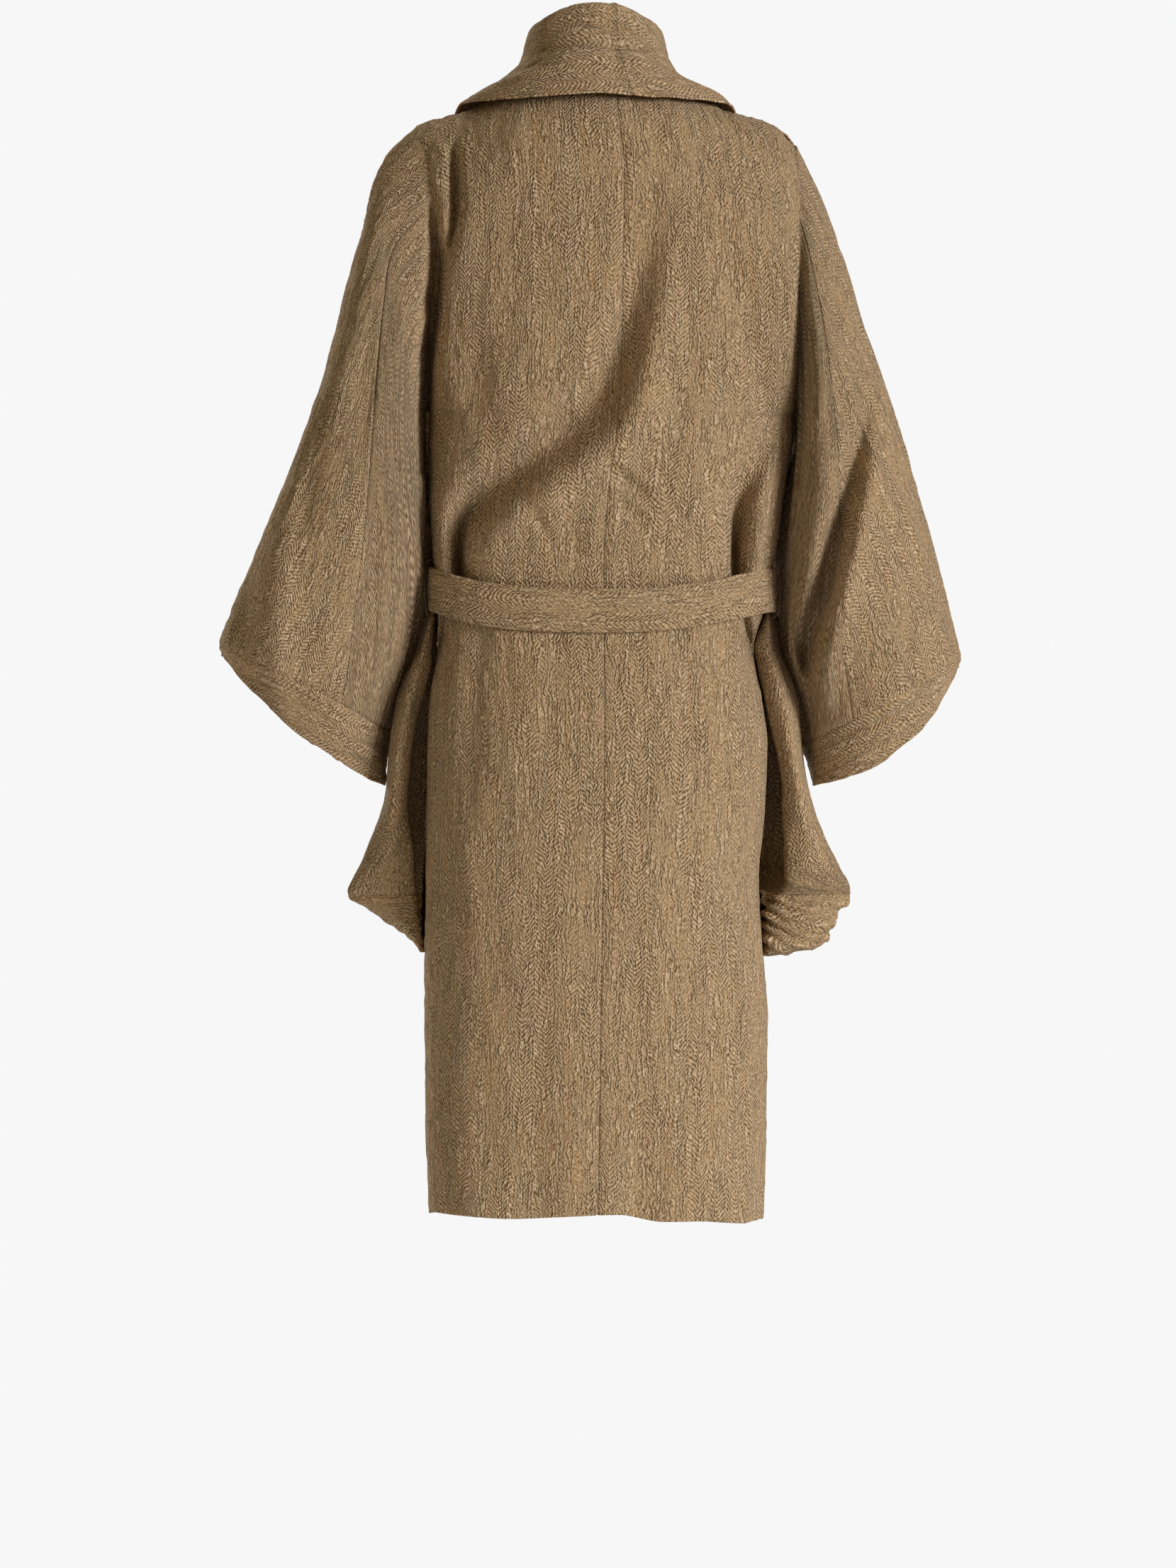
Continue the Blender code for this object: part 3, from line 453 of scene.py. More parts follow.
COLLAR_FOLDS = {
    "break": (
        (-92, 60, 0, 4), (-66, 69, 3.6, 4.2), (-20, 74, 3, 4.5), (28, 70, 4, 4.5), (66, 69, 3.6, 4.2),
        (88, 62, 0, 4),
    ),
    "roll over the break": ((-70, 80, 0, 6), (-30, 86, -2.6, 6), (30, 81, -2.8, 6), (66, 80, 0, 6)),
    "upper crease": ((-58, 96, 0, 4), (-26, 101, 2.8, 4), (16, 96, 2.4, 4), (48, 101, 0, 4)),
    "lower crease": ((-112, 40, 0, 5), (-74, 50, 3, 5), (-24, 52, 2, 5), (14, 47, 0, 5)),
    "right lower crease": ((30, 54, 0, 5), (72, 48, 3.2, 5), (116, 34, 0, 5)),
}
FRONT_FOLDS = {
    "left armhole": ((-186, -120, 4, 6), (-188, -220, 16, 8), (-191, -320, 16, 8)),
    "right armhole": ((230, -140, 4, 6), (230, -240, 14, 8), (227, -330, 14, 8)),
    "left chest": ((-160, -520, 12, 10), (-150, -450, 14, 14), (-150, -360, 8, 18), (-160, -260, 0, 20)),
    "right chest": ((152, -520, 12, 10), (150, -440, 14, 14), (164, -350, 8, 18), (184, -270, 0, 20)),
    "left tuck": ((-90, -525, 6, 8), (-96, -470, 6, 12), (-104, -410, 0, 14)),
    "left skirt": ((-60, -590, 6, 10), (-66, -800, 7, 20), (-60, -1040, 6, 28), (-64, -1260, 9, 30)),
    "wrap pull": ((70, -600, 7, 10), (40, -740, 6, 18), (10, -940, 3, 24), (4, -1100, 0, 28)),
    "right skirt": ((128, -600, 4, 10), (134, -900, 5, 22), (130, -1260, 8, 26)),
    "left sleeve trough": (
        (-300, -300, 0, 12), (-284, -400, 18, 14), (-268, -500, 26, 16), (-254, -600, 24, 16),
    ),
    "right sleeve trough": (
        (310, -260, 0, 12), (300, -380, 14, 14), (290, -490, 22, 16), (276, -610, 16, 18),
    ),
    "left sleeve hollow": ((-340, -420, 0, 14), (-360, -520, 10, 18), (-370, -610, 4, 18)),
    "right sleeve hollow": ((340, -380, 0, 14), (362, -500, 10, 18), (372, -600, 4, 18)),
}


def between_rows(t: Number, span: Number, i: Array, rows: Array, slopes: Array) -> Number:
    """Points of a smooth curve between its rows.

    Args:
        t: Shares of the way from a row to the next.
        span: Distances between those rows.
        i: Numbers of the rows.
        rows: Values of the rows.
        slopes: Slopes at the rows.

    Returns:
        The values there.
    """
    start = (1 + 2 * t) * (1 - t) ** 2 * rows[i] + t * (1 - t) ** 2 * span * slopes[i]
    end = t * t * (3 - 2 * t) * rows[i + 1] - t * t * (1 - t) * span * slopes[i + 1]
    return start + end


class Profile:
    """A curve with no overshoot through the rows of a short table."""

    def __init__(self, keys: Sequence[float], values: Sequence[float]) -> None:
        """Keep the table and work out the slope at each row.

        Args:
            keys: Rising places along the table.
            values: Value at each place.
        """
        self.keys = np.asarray(keys, dtype=float)
        self.values = np.asarray(values, dtype=float)
        slopes = np.diff(self.values) / np.diff(self.keys)
        before, after = slopes[:-1], slopes[1:]
        same = before * after > 0.0
        total = np.where(same, before + after, 1.0)
        inner = np.where(same, 2.0 * before * after / total, 0.0)
        self.slopes = np.concatenate([slopes[:1], inner, slopes[-1:]])

    def __call__(self, at: Number) -> Number:
        """Value of the curve at one place or many."""
        at = np.clip(at, self.keys[0], self.keys[-1])
        i = np.clip(np.searchsorted(self.keys, at, side="right") - 1, 0, len(self.keys) - 2)
        span = self.keys[i + 1] - self.keys[i]
        t = (at - self.keys[i]) / span
        return between_rows(t, span, i, self.values, self.slopes)


def table_profile(rows: Sequence[NamedTuple], column: str = "value") -> Profile:
    """Curve through one named column of a table, by its first column."""
    ordered = sorted(rows, key=lambda row: row[0])
    return Profile([row[0] for row in ordered], [getattr(row, column) for row in ordered])


def ease(value: Number) -> Number:
    """Smooth step from 0 to 1."""
    value = np.clip(value, 0.0, 1.0)
    return value * value * (3.0 - 2.0 * value)


def stations(length: float, step: float) -> Array:
    """Shares along a line: even steps, with closer ones beside both ends, where seams are.

    Args:
        length: Length of the line in metres.
        step: Even step in metres.

    Returns:
        Rising shares from 0 to 1.
    """
    close = np.array((0.0,) + SEAM_STEPS) / length
    count = max(int(round((length - 2.0 * SEAM_STEPS[-1]) / step)), 2)
    middle = np.linspace(close[-1], 1.0 - close[-1], count + 1)[1:-1]
    return np.concatenate([close, middle, 1.0 - close[::-1]])


def smooth_through(rows: Array, places: Array) -> Array:
    """Rows read from a smooth curve through coarse rows, spaced by their mean distance.

    Args:
        rows: Coarse rows of points, the first axis along the curve.
        places: Shares from 0 to 1 of the way along.

    Returns:
        A row of points for each place.
    """
    shape = (-1,) + (1,) * (rows.ndim - 1)
    gaps = np.linalg.norm(np.diff(rows, axis=0), axis=-1)
    gaps = gaps.reshape(len(gaps), -1).mean(axis=1)
    knots = np.concatenate([[0.0], np.cumsum(np.maximum(gaps, NO_LENGTH))])
    spans = np.diff(knots)
    chords = np.diff(rows, axis=0) / spans.reshape(shape)
    weight = (spans[:-1] / (spans[:-1] + spans[1:])).reshape(shape)
    inner = chords[:-1] * (1.0 - weight) + chords[1:] * weight
    slopes = np.concatenate([chords[:1], inner, chords[-1:]])
    at = places * knots[-1]
    i = np.clip(np.searchsorted(knots, at, side="right") - 1, 0, len(spans) - 1)
    t = ((at - knots[i]) / spans[i]).reshape(shape)
    return between_rows(t, spans[i].reshape(shape), i, rows, slopes)


class Cell(NamedTuple):
    """Size of a ripple across and along the grain, and its place in the noise."""

    across: float
    along: float
    shift_across: float = 0.0
    shift_along: float = 0.0


class Ripples:
    """Seeded smooth noise over the flat cloth, for the small waves that the folds leave out."""

    CELLS = 256
    BEND = Cell(0.040, 0.090)
    BEND_SIZE = 0.006
    CABLES = Cell(0.013, 0.060)
    CABLE_WIDTH = 0.16
    CABLE_HEIGHT = 0.0015
    PATCHES = Cell(0.060, 0.120, 7.0)
    PATCH_START = 0.6
    SWELL = Cell(0.030, 0.085, 31.0)
    SWELL_HEIGHT = 0.0021
    BROAD_SWELL = Cell(0.075, 0.180, 0.0, 11.0)
    BROAD_SHARE = 0.6

    def __init__(self, seed: int) -> None:
        """Draw the lattice once.

        Args:
            seed: Seed of the draw.
        """
        draw = np.random.default_rng(seed)
        self.order = draw.permutation(self.CELLS)
        turn = draw.uniform(0.0, FULL_TURN, self.CELLS)
        self.slopes = np.stack([np.cos(turn), np.sin(turn)], axis=-1)

    def __call__(self, u: Array, v: Array) -> Array:
        """Gradient noise, about -1 to 1, at places of the lattice."""
        cell_u = np.floor(u).astype(int)
        cell_v = np.floor(v).astype(int)
        part_u = u - cell_u
        part_v = v - cell_v
        fade_u = ease(part_u)
        fade_v = ease(part_v)
        total = np.zeros_like(u)
        for step_u, weight_u in ((0, 1.0 - fade_u), (1, fade_u)):
            for step_v, weight_v in ((0, 1.0 - fade_v), (1, fade_v)):
                column = self.order[(cell_u + step_u) % self.CELLS]
                slope = self.slopes[self.order[(column + cell_v + step_v) % self.CELLS]]
                rise = slope[..., 0] * (part_u - step_u) + slope[..., 1] * (part_v - step_v)
                total += rise * weight_u * weight_v
        return total * math.sqrt(2.0)

    def spread(self, u: Array, v: Array, cell: Cell) -> Array:
        """Noise in ripples of a chosen size."""
        return self(u / cell.across + cell.shift_across, v / cell.along + cell.shift_along)

    def crinkle(self, u: Array, v: Array) -> Array:
        """The cloth's own crinkle, long and wavy along the grain.

        Args:
            u: Metres across the grain.
            v: Metres along the grain.

        Returns:
            Height in metres.
        """
        bent = u + self.BEND_SIZE * self.spread(u, v, self.BEND)
        cables = np.exp(-(self.spread(bent, v, self.CABLES) / self.CABLE_WIDTH) ** 2)
        cables *= 0.5 + 0.5 * ease(self.spread(u, v, self.PATCHES) + self.PATCH_START)
        swell = self.spread(u, v, self.SWELL) + self.BROAD_SHARE * self.spread(u, v, self.BROAD_SWELL)
        return self.CABLE_HEIGHT * cables + self.SWELL_HEIGHT * swell


RIPPLES = Ripples(20)


class FoldField:
    """Troughs and ridges along listed paths, seen from behind or in front."""

    PATH_STEPS = 6
    FAR = 3.2
    FACING_FADE = 0.030

    def __init__(self, folds: dict, facing: Facing) -> None:
        """Smooth each path.

        Args:
            folds: Paths of fold points by name, in millimetres.
            facing: The side of the coat that the folds lie on.
        """
        self.facing = facing
        self.paths = [self.smoothed(np.array(table(FoldPoint, *path))) for path in folds.values()]

    def smoothed(self, path: Array) -> Array:
        """The path with more points, on a smooth curve."""
        return smooth_through(path, np.linspace(0.0, 1.0, (len(path) - 1) * self.PATH_STEPS + 1))

    def press(self, points: Array) -> Array:
        """How deep the folds press in at each point, less than nothing on a ridge.

        Args:
            points: Places of the cloth.

        Returns:
            Depth in metres for each point.
        """
        flat = points.reshape(-1, 3)
        total = np.zeros(len(flat))
        for path in self.paths:
            reach = self.FAR * path[:, 3].max()
            low = path[:, :2].min(axis=0) - reach
            high = path[:, :2].max(axis=0) + reach
            inside = np.all((flat[:, (0, 2)] > low) & (flat[:, (0, 2)] < high), axis=1)
            if inside.any():
                total[inside] += self.along(path, flat[inside][:, (0, 2)])
        mask = ease(self.facing * flat[:, 1] / self.FACING_FADE)
        return (total * mask).reshape(points.shape[:-1])

    @staticmethod
    def along(path: Array, places: Array) -> Array:
        """Depth of one fold at places near its path."""
        best = np.zeros(len(places))
        for start, end in zip(path, path[1:]):
            line = end[:2] - start[:2]
            offset = places - start[:2]
            t = np.clip(offset @ line / (line @ line), 0.0, 1.0)
            distance = np.linalg.norm(offset - t[:, None] * line, axis=1)
            depth, reach = start[2:, None] + (end[2:] - start[2:])[:, None] * t
            value = depth * np.exp(-(distance / reach) ** 2)
            best = np.where(np.abs(value) > np.abs(best), value, best)
        return best


@dataclass
class Grid:
    """A panel's outer face as rows of points, with the flat cloth's own measures at each point.

    Attributes:
        points: Places, by row and column.
        out: 1 where rows crossed with columns point outwards, else -1.
        closed: Whether the last column meets the first.
        turned: Whether the cloth's grain runs along the rows.
        zero: The edge that the width is measured from.
        shift: The panel's own place in the cloth's pattern.
    """

    points: Array
    out: int = 1
    closed: bool = False
    turned: bool = False
    zero: Edge = Edge.FIRST_COLUMN
    shift: float = 0.0
    girth: float = field(init=False)
    across: Array = field(init=False)
    along: Array = field(init=False)
    flat_size: tuple = field(init=False)
    flat_area: float = field(init=False)

    def __post_init__(self) -> None:
        """Measure the smooth panel before it is folded."""
        around = self.points
        if self.closed:
            around = np.concatenate([around, around[:, :1]], axis=1)
        row_steps = np.linalg.norm(np.diff(around, axis=1), axis=-1)
        column_steps = np.linalg.norm(np.diff(around, axis=0), axis=-1)
        across = np.pad(np.cumsum(row_steps, axis=1), ((0, 0), (1, 0)))
        along = np.pad(np.cumsum(column_steps, axis=0), ((1, 0), (0, 0)))
        self.flat_size = (float(across[:, -1].max()), float(along[-1].max()))
        heights = (column_steps[:, :-1] + column_steps[:, 1:]) / 2.0
        widths = (row_steps[:-1] + row_steps[1:]) / 2.0
        self.flat_area = float((heights * widths).sum())
        self.girth = float(across[:, -1].mean())
        if self.closed:
            across = (across / across[:, -1:] * self.girth)[:, :-1]
            along = along[:, :-1]
        self.across = across
        self.along = along

    def grain(self) -> Array:
        """Metres across and along the grain at each point."""
        across = self.from_edge(self.zero)
        if self.zero is Edge.LAST_COLUMN:
            across = -across
        pair = (self.along, across) if self.turned else (across, self.along)
        return np.stack(pair, axis=-1) + np.array((self.shift, 2.0 * self.shift))

    def normals(self) -> Array:
        """Unit normals, pointing out of the garment."""
        along = np.gradient(self.points, axis=0)
        if self.closed:
            across = np.roll(self.points, -1, axis=1) - np.roll(self.points, 1, axis=1)
        else:
            across = np.gradient(self.points, axis=1)
        found = np.cross(along, across) * self.out
        return found / np.maximum(np.linalg.norm(found, axis=-1, keepdims=True), TINY)

    def from_edge(self, edge: Edge) -> Array:
        """Distance of each point from one edge."""
        if edge is Edge.FIRST_ROW:
            return self.along
        if edge is Edge.LAST_ROW:
            return self.along[-1:] - self.along
        if edge is Edge.FIRST_COLUMN:
            return self.across
        return self.across[:, -1:] - self.across

    def seam_map(self, seams: Sequence[Edge]) -> Array:
        """Distance from the nearest seam, and the way along it."""
        best = np.ones(self.points.shape[:2])
        along = np.zeros_like(best)
        for edge in seams:
            distance = self.from_edge(edge)
            run = self.across if edge in (Edge.FIRST_ROW, Edge.LAST_ROW) else self.along
            near = distance < best
            along = np.where(near, run, along)
            best = np.where(near, distance, best)
        return np.stack([best, along], axis=-1)

    def press(self, field_of_folds: FoldField) -> None:
        """Push the points straight in by the folds' depth."""
        depth = field_of_folds.press(self.points)
        self.points[..., 1] -= field_of_folds.facing * depth

    def raise_by(self, height: Array) -> None:
        """Move the points out along their normals."""
        self.points = self.points + self.normals() * height[..., None]

    def crinkle(self, amount: float, seams: Sequence[Edge]) -> None:
        """Raise the cloth's own small crinkle, fading towards the seams so that panels meet there.

        Args:
            amount: Share of the full crinkle.
            seams: Edges that are sewn.
        """
        grain = self.grain()
        fade = ease(self.seam_map(seams)[..., 0] / CRINKLE_FADE)
        self.raise_by(amount * RIPPLES.crinkle(grain[..., 0], grain[..., 1]) * fade)

    def tuck_first_row(self, depth: float) -> None:
        """Carry the first row on past its seam, inside the next panel, so that no light shows there."""
        away = self.points[0] - self.points[2]
        self.points[0] += away / np.linalg.norm(away, axis=-1, keepdims=True) * depth

    def sink_seams(self, seams: Sequence[Edge]) -> None:
        """Draw the cloth in beside its seams, as stitching does."""
        distance = self.seam_map(seams)[..., 0]
        dip = SEAM_DIP * np.exp(-(distance / SEAM_DIP_WIDTH) ** 2)
        puff = SEAM_PUFF * np.exp(-((distance - SEAM_PUFF_PLACE) / SEAM_PUFF_WIDTH) ** 2)
        self.raise_by(puff - dip)


class MeshMaker:
    """Turns grids of points into closed meshes with the cloth's own maps."""

    EDGE_ROUNDING = 0.45

    @staticmethod
    def place(name: str, points: Array, faces: Array, maps: dict,
              wraps: Sequence[tuple] = ()) -> bpy.types.Object:
        """A mesh object from arrays.

        Args:
            name: Name of the piece.
            points: Places of the vertices.
            faces: Corners of the four-sided faces.
            maps: Map coordinates of each vertex, by the map's name.
            wraps: Axis of the grain map and length at which it starts again, on a closed band.

        Returns:
            The new object, linked and shaded smooth.
        """
        mesh = bpy.data.meshes.new(name)
        mesh.vertices.add(len(points))
        mesh.vertices.foreach_set("co", points.astype(np.float32).ravel())
        mesh.loops.add(faces.size)
        mesh.loops.foreach_set("vertex_index", faces.astype(np.int32).ravel())
        mesh.polygons.add(len(faces))
        mesh.polygons.foreach_set("loop_start", np.arange(0, faces.size, 4, dtype=np.int32))
        mesh.update(calc_edges=True)
        for key, values in maps.items():
            corners = values[faces]
            for axis, length in wraps if key == "grain" else ():
                part = corners[..., axis]
                low = part < part.max(axis=1, keepdims=True) - length / 2.0
                corners[..., axis] = np.where(low, part + length, part)
            layer = mesh.uv_layers.new(name=key)
            layer.data.foreach_set("uv", corners.astype(np.float32).ravel())
        mesh.validate()
        mesh.shade_smooth()
        made = bpy.data.objects.new(name, mesh)
        bpy.context.scene.collection.objects.link(made)
        return made

    @staticmethod
    def quads(rows: int, columns: int, closed_columns: bool, closed_rows: bool = False) -> Array:
        """Faces of a grid, in the order that makes rows crossed with columns point out.

        Args:
            rows: Number of rows.
            columns: Number of columns.
            closed_columns: Whether the last column meets the first.
            closed_rows: Whether the last row meets the first.

        Returns:
            Four corners for each face.
        """
        index = np.arange(rows * columns).reshape(rows, columns)
        if closed_columns:
            index = np.concatenate([index, index[:, :1]], axis=1)
        if closed_rows:
            index = np.concatenate([index, index[:1]], axis=0)
        corners = (index[:-1, :-1], index[1:, :-1], index[1:, 1:], index[:-1, 1:])
        return np.stack(corners, axis=-1).reshape(-1, 4)

    @classmethod
    def shell(cls, name: str, grid: Grid, thickness: float, seams: Sequence[Edge],
              faint: float = 0.0) -> bpy.types.Object:
        """A closed wall of cloth with rounded edges.

        Args:
            name: Name of the piece.
            grid: The outer face.
            thickness: Thickness of the cloth.
            seams: The edges that are sewn to another piece.
            faint: How far the seam's map starts from its line, which makes the stitching fainter.

        Returns:
            The new object.
        """
        outer = grid.points
        inner = outer - grid.normals() * thickness
        rows, columns = outer.shape[:2]
        count = rows * columns
        index = np.arange(count).reshape(rows, columns)
        faces = cls.quads(rows, columns, grid.closed)
        sheets = [faces, faces[:, ::-1] + count]
        points = [outer.reshape(-1, 3), inner.reshape(-1, 3)]
        maps = {"grain": grid.grain(), "seam": grid.seam_map(seams) + np.array((faint, 0.0))}
        flat_maps = {key: [value.reshape(-1, 2)] * 2 for key, value in maps.items()}
        used = 2 * count
        for loop, inside in cls.boundary(index, grid.closed):
            middle = (points[0][loop] + points[1][loop]) / 2.0
            away = points[0][loop] - points[0][inside]
            away /= np.maximum(np.linalg.norm(away, axis=1, keepdims=True), TINY)
            points.append(middle + away * thickness * cls.EDGE_ROUNDING)
            for key, value in flat_maps.items():
                flat_maps[key] = value + [value[0][loop]]
            ring = used + np.arange(len(loop))
            used += len(loop)
            after = np.roll(np.arange(len(loop)), -1)
            sheets.append(np.stack([loop, loop[after], ring[after], ring], axis=-1))
            sheets.append(np.stack([ring, ring[after], loop[after] + count, loop + count], axis=-1))
        corners = np.concatenate(sheets)
        if grid.out < 0:
            corners = corners[:, ::-1]
        joined = {key: np.concatenate(value) for key, value in flat_maps.items()}
        wraps = ((1 if grid.turned else 0, grid.girth),) if grid.closed else ()
        return cls.place(name, np.concatenate(points), corners, joined, wraps)

    @staticmethod
    def boundary(index: Array, closed: bool) -> list:
        """Loops of edge vertices in turning order, each with the vertices next inside.

        Args:
            index: Vertex numbers by row and column.
            closed: Whether the columns join up.

        Returns:
            Pairs of a loop and its inner neighbours.
        """
        if closed:
            return [(index[0], index[1]), (index[-1][::-1], index[-2][::-1])]
        near = [np.clip(np.arange(size), 1, size - 2) for size in index.shape]
        inner = index[np.ix_(*near)]

        def around(part: Array) -> Array:
            """The edge of a table of vertex numbers, all the way round."""
            return np.concatenate([part[0, :-1], part[:-1, -1], part[-1, :0:-1], part[:0:-1, 0]])

        return [(around(index), around(inner))]


class BodyRow:
    """One row of the body's cloth, as an oval whose end reaches the side seam or the armhole."""

    def __init__(self, form: "BodyForm", level: float, facing: Facing) -> None:
        """Work out the oval.

        Args:
            form: The coat's body.
            level: The row's level.
            facing: Behind or in front.
        """
        self.form = form
        self.level = level
        self.facing = facing
        self.full_depth = float(form.depth(level, facing))
        self.depth = self.full_depth * math.sin(form.turn(level, 0.0))
        self.width = {}
        reach = {}
        for side in Side:
            reach[side], edge_depth = form.edge(side, level, max(self.depth, NO_DEPTH))
            share = LEAST_SHARE
            if self.depth > NO_DEPTH:
                share = (edge_depth / self.depth) ** FLATNESS
            self.width[side] = reach[side] / (1.0 - share) ** (1.0 / FLATNESS)
        self.end = {side: float(self.angle(side * reach[side])) for side in Side}

    def angle(self, across: Number) -> Number:
        """Angle round the oval of places across the body."""
        width = np.where(np.less(across, 0.0), self.width[Side.LEFT], self.width[Side.RIGHT])
        share = np.minimum(np.abs(across) / width, 1.0)
        return np.sign(across) * np.arcsin(share ** (FLATNESS / 2.0))

    def points(self, angles: Array) -> Array:
        """Points of the row at some angles."""
        width = np.where(angles < 0.0, self.width[Side.LEFT], self.width[Side.RIGHT])
        across = np.sign(angles) * width * np.abs(np.sin(angles)) ** (2.0 / FLATNESS)
        share = np.maximum(np.cos(angles), 0.0) ** (2.0 / FLATNESS)
        depth = self.depth
        stop = np.zeros_like(angles)
        if self.facing is Facing.BACK and self.level > 1.0:
            stop = self.form.neck_angle(across, self.full_depth * np.maximum(share, LEAST_SHARE))
            depth = self.full_depth * np.sin(self.form.turn(self.level, stop))
        height = self.form.height(self.level, across, stop)
        return np.stack([across, self.facing * depth * share, height], axis=-1)


@dataclass
class BodyForm:
    """The worn shape of the coat's body.

    A level is a height up to the underarm, then 0 to 1 up the armhole side to the start of the shoulder,
    then 1 to 2 over the shoulder to its top line.
    """

    step: float = FINE_STEP
    side_rows: int = 60
    top_rows: int = 50

    def __post_init__(self) -> None:
        """Read the tables."""
        curves = (RIDGE, CENTRE_SEAM, FRONT_EDGE, HEM_WAVE)
        self.ridge_line, self.seam_line, self.front_line, self.hem_wave = map(table_profile, curves)
        self.columns = {name: table_profile(SECTIONS, name) for name in Section._fields[1:]}

    def levels(self) -> Array:
        """All the levels of a fine grid, from the hem to the top of the shoulder."""
        hem = HEM_HEIGHT + np.array((0.0,) + SEAM_STEPS)
        skirt = np.linspace(HEM_HEIGHT, UNDERARM_HEIGHT, int((UNDERARM_HEIGHT - HEM_HEIGHT) / self.step))
        side = np.linspace(0.0, 1.0, self.side_rows)[1:]
        top = np.linspace(1.0, 2.0, self.top_rows)[1:]
        return np.concatenate([hem, skirt[1:], side, top])

    def half_width(self, side: Side, height: Number) -> Number:
        """Half-width of the body on one side at a height."""
        return self.columns[side.word](height)

    def ridge(self, across: Number) -> Number:
        """Height of the top line of the shoulder."""
        return self.ridge_line(np.abs(across))

    def neck_angle(self, across: Array, depth: Array) -> Array:
        """Where the back's rows stop short of the top line, to leave the neck open."""
        share = np.minimum(np.abs(across) / NECK_HALF_WIDTH, 1.0)
        return np.arcsin(np.minimum(NECK_DEPTH * np.sqrt(1.0 - share * share) / depth, 1.0))

    @staticmethod
    def turn(level: float, stop: Number) -> Number:
        """Angle of a row over the shoulder: a right angle at its start, the stop at its end."""
        return QUARTER_TURN + (stop - QUARTER_TURN) * max(level - 1.0, 0.0)

    def height(self, level: float, across: Number, stop: Number = 0.0) -> Number:
        """Height of a row at places across the body.

        Args:
            level: The row's level.
            across: Places across.
            stop: Angle at which the row ends short of the top line.

        Returns:
            The heights.
        """
        if level < 0.0:
            fall = ease((level - UNDERARM_HEIGHT) / (HEM_HEIGHT - UNDERARM_HEIGHT))
            return level + HEM_TILT * across * fall
        shoulder = self.ridge(across) - SHOULDER_DROP
        if level <= 1.0:
            return UNDERARM_HEIGHT + (shoulder - UNDERARM_HEIGHT) * level
        return self.ridge(across) - SHOULDER_DROP * (1.0 - np.cos(self.turn(level, stop)))

    def depth(self, level: float, facing: Facing) -> float:
        """How far the cloth stands behind or in front of the body's middle at a row."""
        return self.columns[facing.name.lower()](self.height(min(level, 1.0), NECK_HALF_WIDTH))

    def armhole_top(self, side: Side) -> float:
        """Height of the top of the armhole."""
        out = SECTIONS[-1].left
        for _ in range(SETTLE_STEPS):
            out = self.half_width(side, self.ridge(out))
        return float(self.ridge(out))

    def edge(self, side: Side, level: float, depth: float) -> tuple:
        """Where a row ends: at the side seam below the underarm, on the armhole above it.

        Args:
            side: Left or right.
            level: The row's level.
            depth: How far the row's cloth stands from the body's middle.

        Returns:
            Place across and depth of the row's end.
        """
        if level < 0.0:
            return float(self.half_width(side, level)), 0.0
        out = self.half_width(side, UNDERARM_HEIGHT)
        for _ in range(SETTLE_STEPS):
            out = self.half_width(side, self.height(level, out))
        top = self.armhole_top(side)
        share = (top - self.height(level, out)) / (top - UNDERARM_HEIGHT)
        angle = math.acos(min(max(1.0 - 2.0 * share, -1.0), 1.0))
        return float(out), min(ARMHOLE_DEPTH * math.sin(angle), ARMHOLE_SHARE * depth)

    def level_of(self, height: float, across: float) -> float:
        """Level of the row that passes through a height at a place across."""
        if height <= UNDERARM_HEIGHT:
            return height
        low, high = 0.0, 2.0
        for _ in range(HALVINGS):
            middle = (low + high) / 2.0
            if self.height(middle, across) < height:
                low = middle
            else:
                high = middle
        return low

    def armhole(self, side: Side) -> Array:
        """The armhole's rim, from the top down the back to the underarm and up the front."""
        halves = []
        for facing in Facing:
            rows = [BodyRow(self, level, facing) for level in self.levels() if level >= 0.0]
            rim = np.array([row.points(np.array([row.end[side]]))[0] for row in rows])
            low = BodyRow(self, UNDERARM_HEIGHT, facing)
            rim = np.concatenate([low.points(np.array([low.end[side]])), rim])[::-1]
            share = (rim[0, 2] - rim[:, 2]) / (rim[0, 2] - rim[-1, 2])
            angle = np.arccos(np.clip(1.0 - 2.0 * share, -1.0, 1.0))
            halves.append(np.concatenate([angle[:, None], rim], axis=1))
        ahead = halves[1][::-1].copy()
        ahead[:, 0] = FULL_TURN - ahead[:, 0]
        return np.concatenate([halves[0], ahead[1:]])


@dataclass
class Piece:
    """A finished piece of cloth, with what its cut was.

    Attributes:
        made: The object.
        node: The solid it stands for.
        flat: Width and length of the cut.
        area: Area of the cut.
        held: How the cloth is held.
        rests_on: Names of the pieces that it is sewn to or lies on.
    """

    made: bpy.types.Object
    node: str
    flat: tuple
    area: float
    held: Held
    rests_on: tuple

    @classmethod
    def of_grid(cls, name: str, grid: Grid, held: Held, rests_on: tuple, seams: Sequence[Edge] = (),
                thickness: float = CLOTH, faint: float = 0.0) -> "Piece":
        """A wall of cloth on a grid.

        Args:
            name: The solid it stands for.
            grid: The outer face.
            held: How the cloth is held.
            rests_on: What it is sewn to or lies on.
            seams: Edges that are sewn.
            thickness: Thickness of the cloth.
            faint: How much fainter its stitching is.

        Returns:
            The piece.
        """
        made = MeshMaker.shell("cloth_" + name, grid, thickness, seams, faint)
        return cls(made, name, grid.flat_size, grid.flat_area, held, rests_on)

    def declare(self) -> None:
        """Attach the piece to its body and hide the solid that it stands for."""
        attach(self.made, BODY)
        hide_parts(self.node)


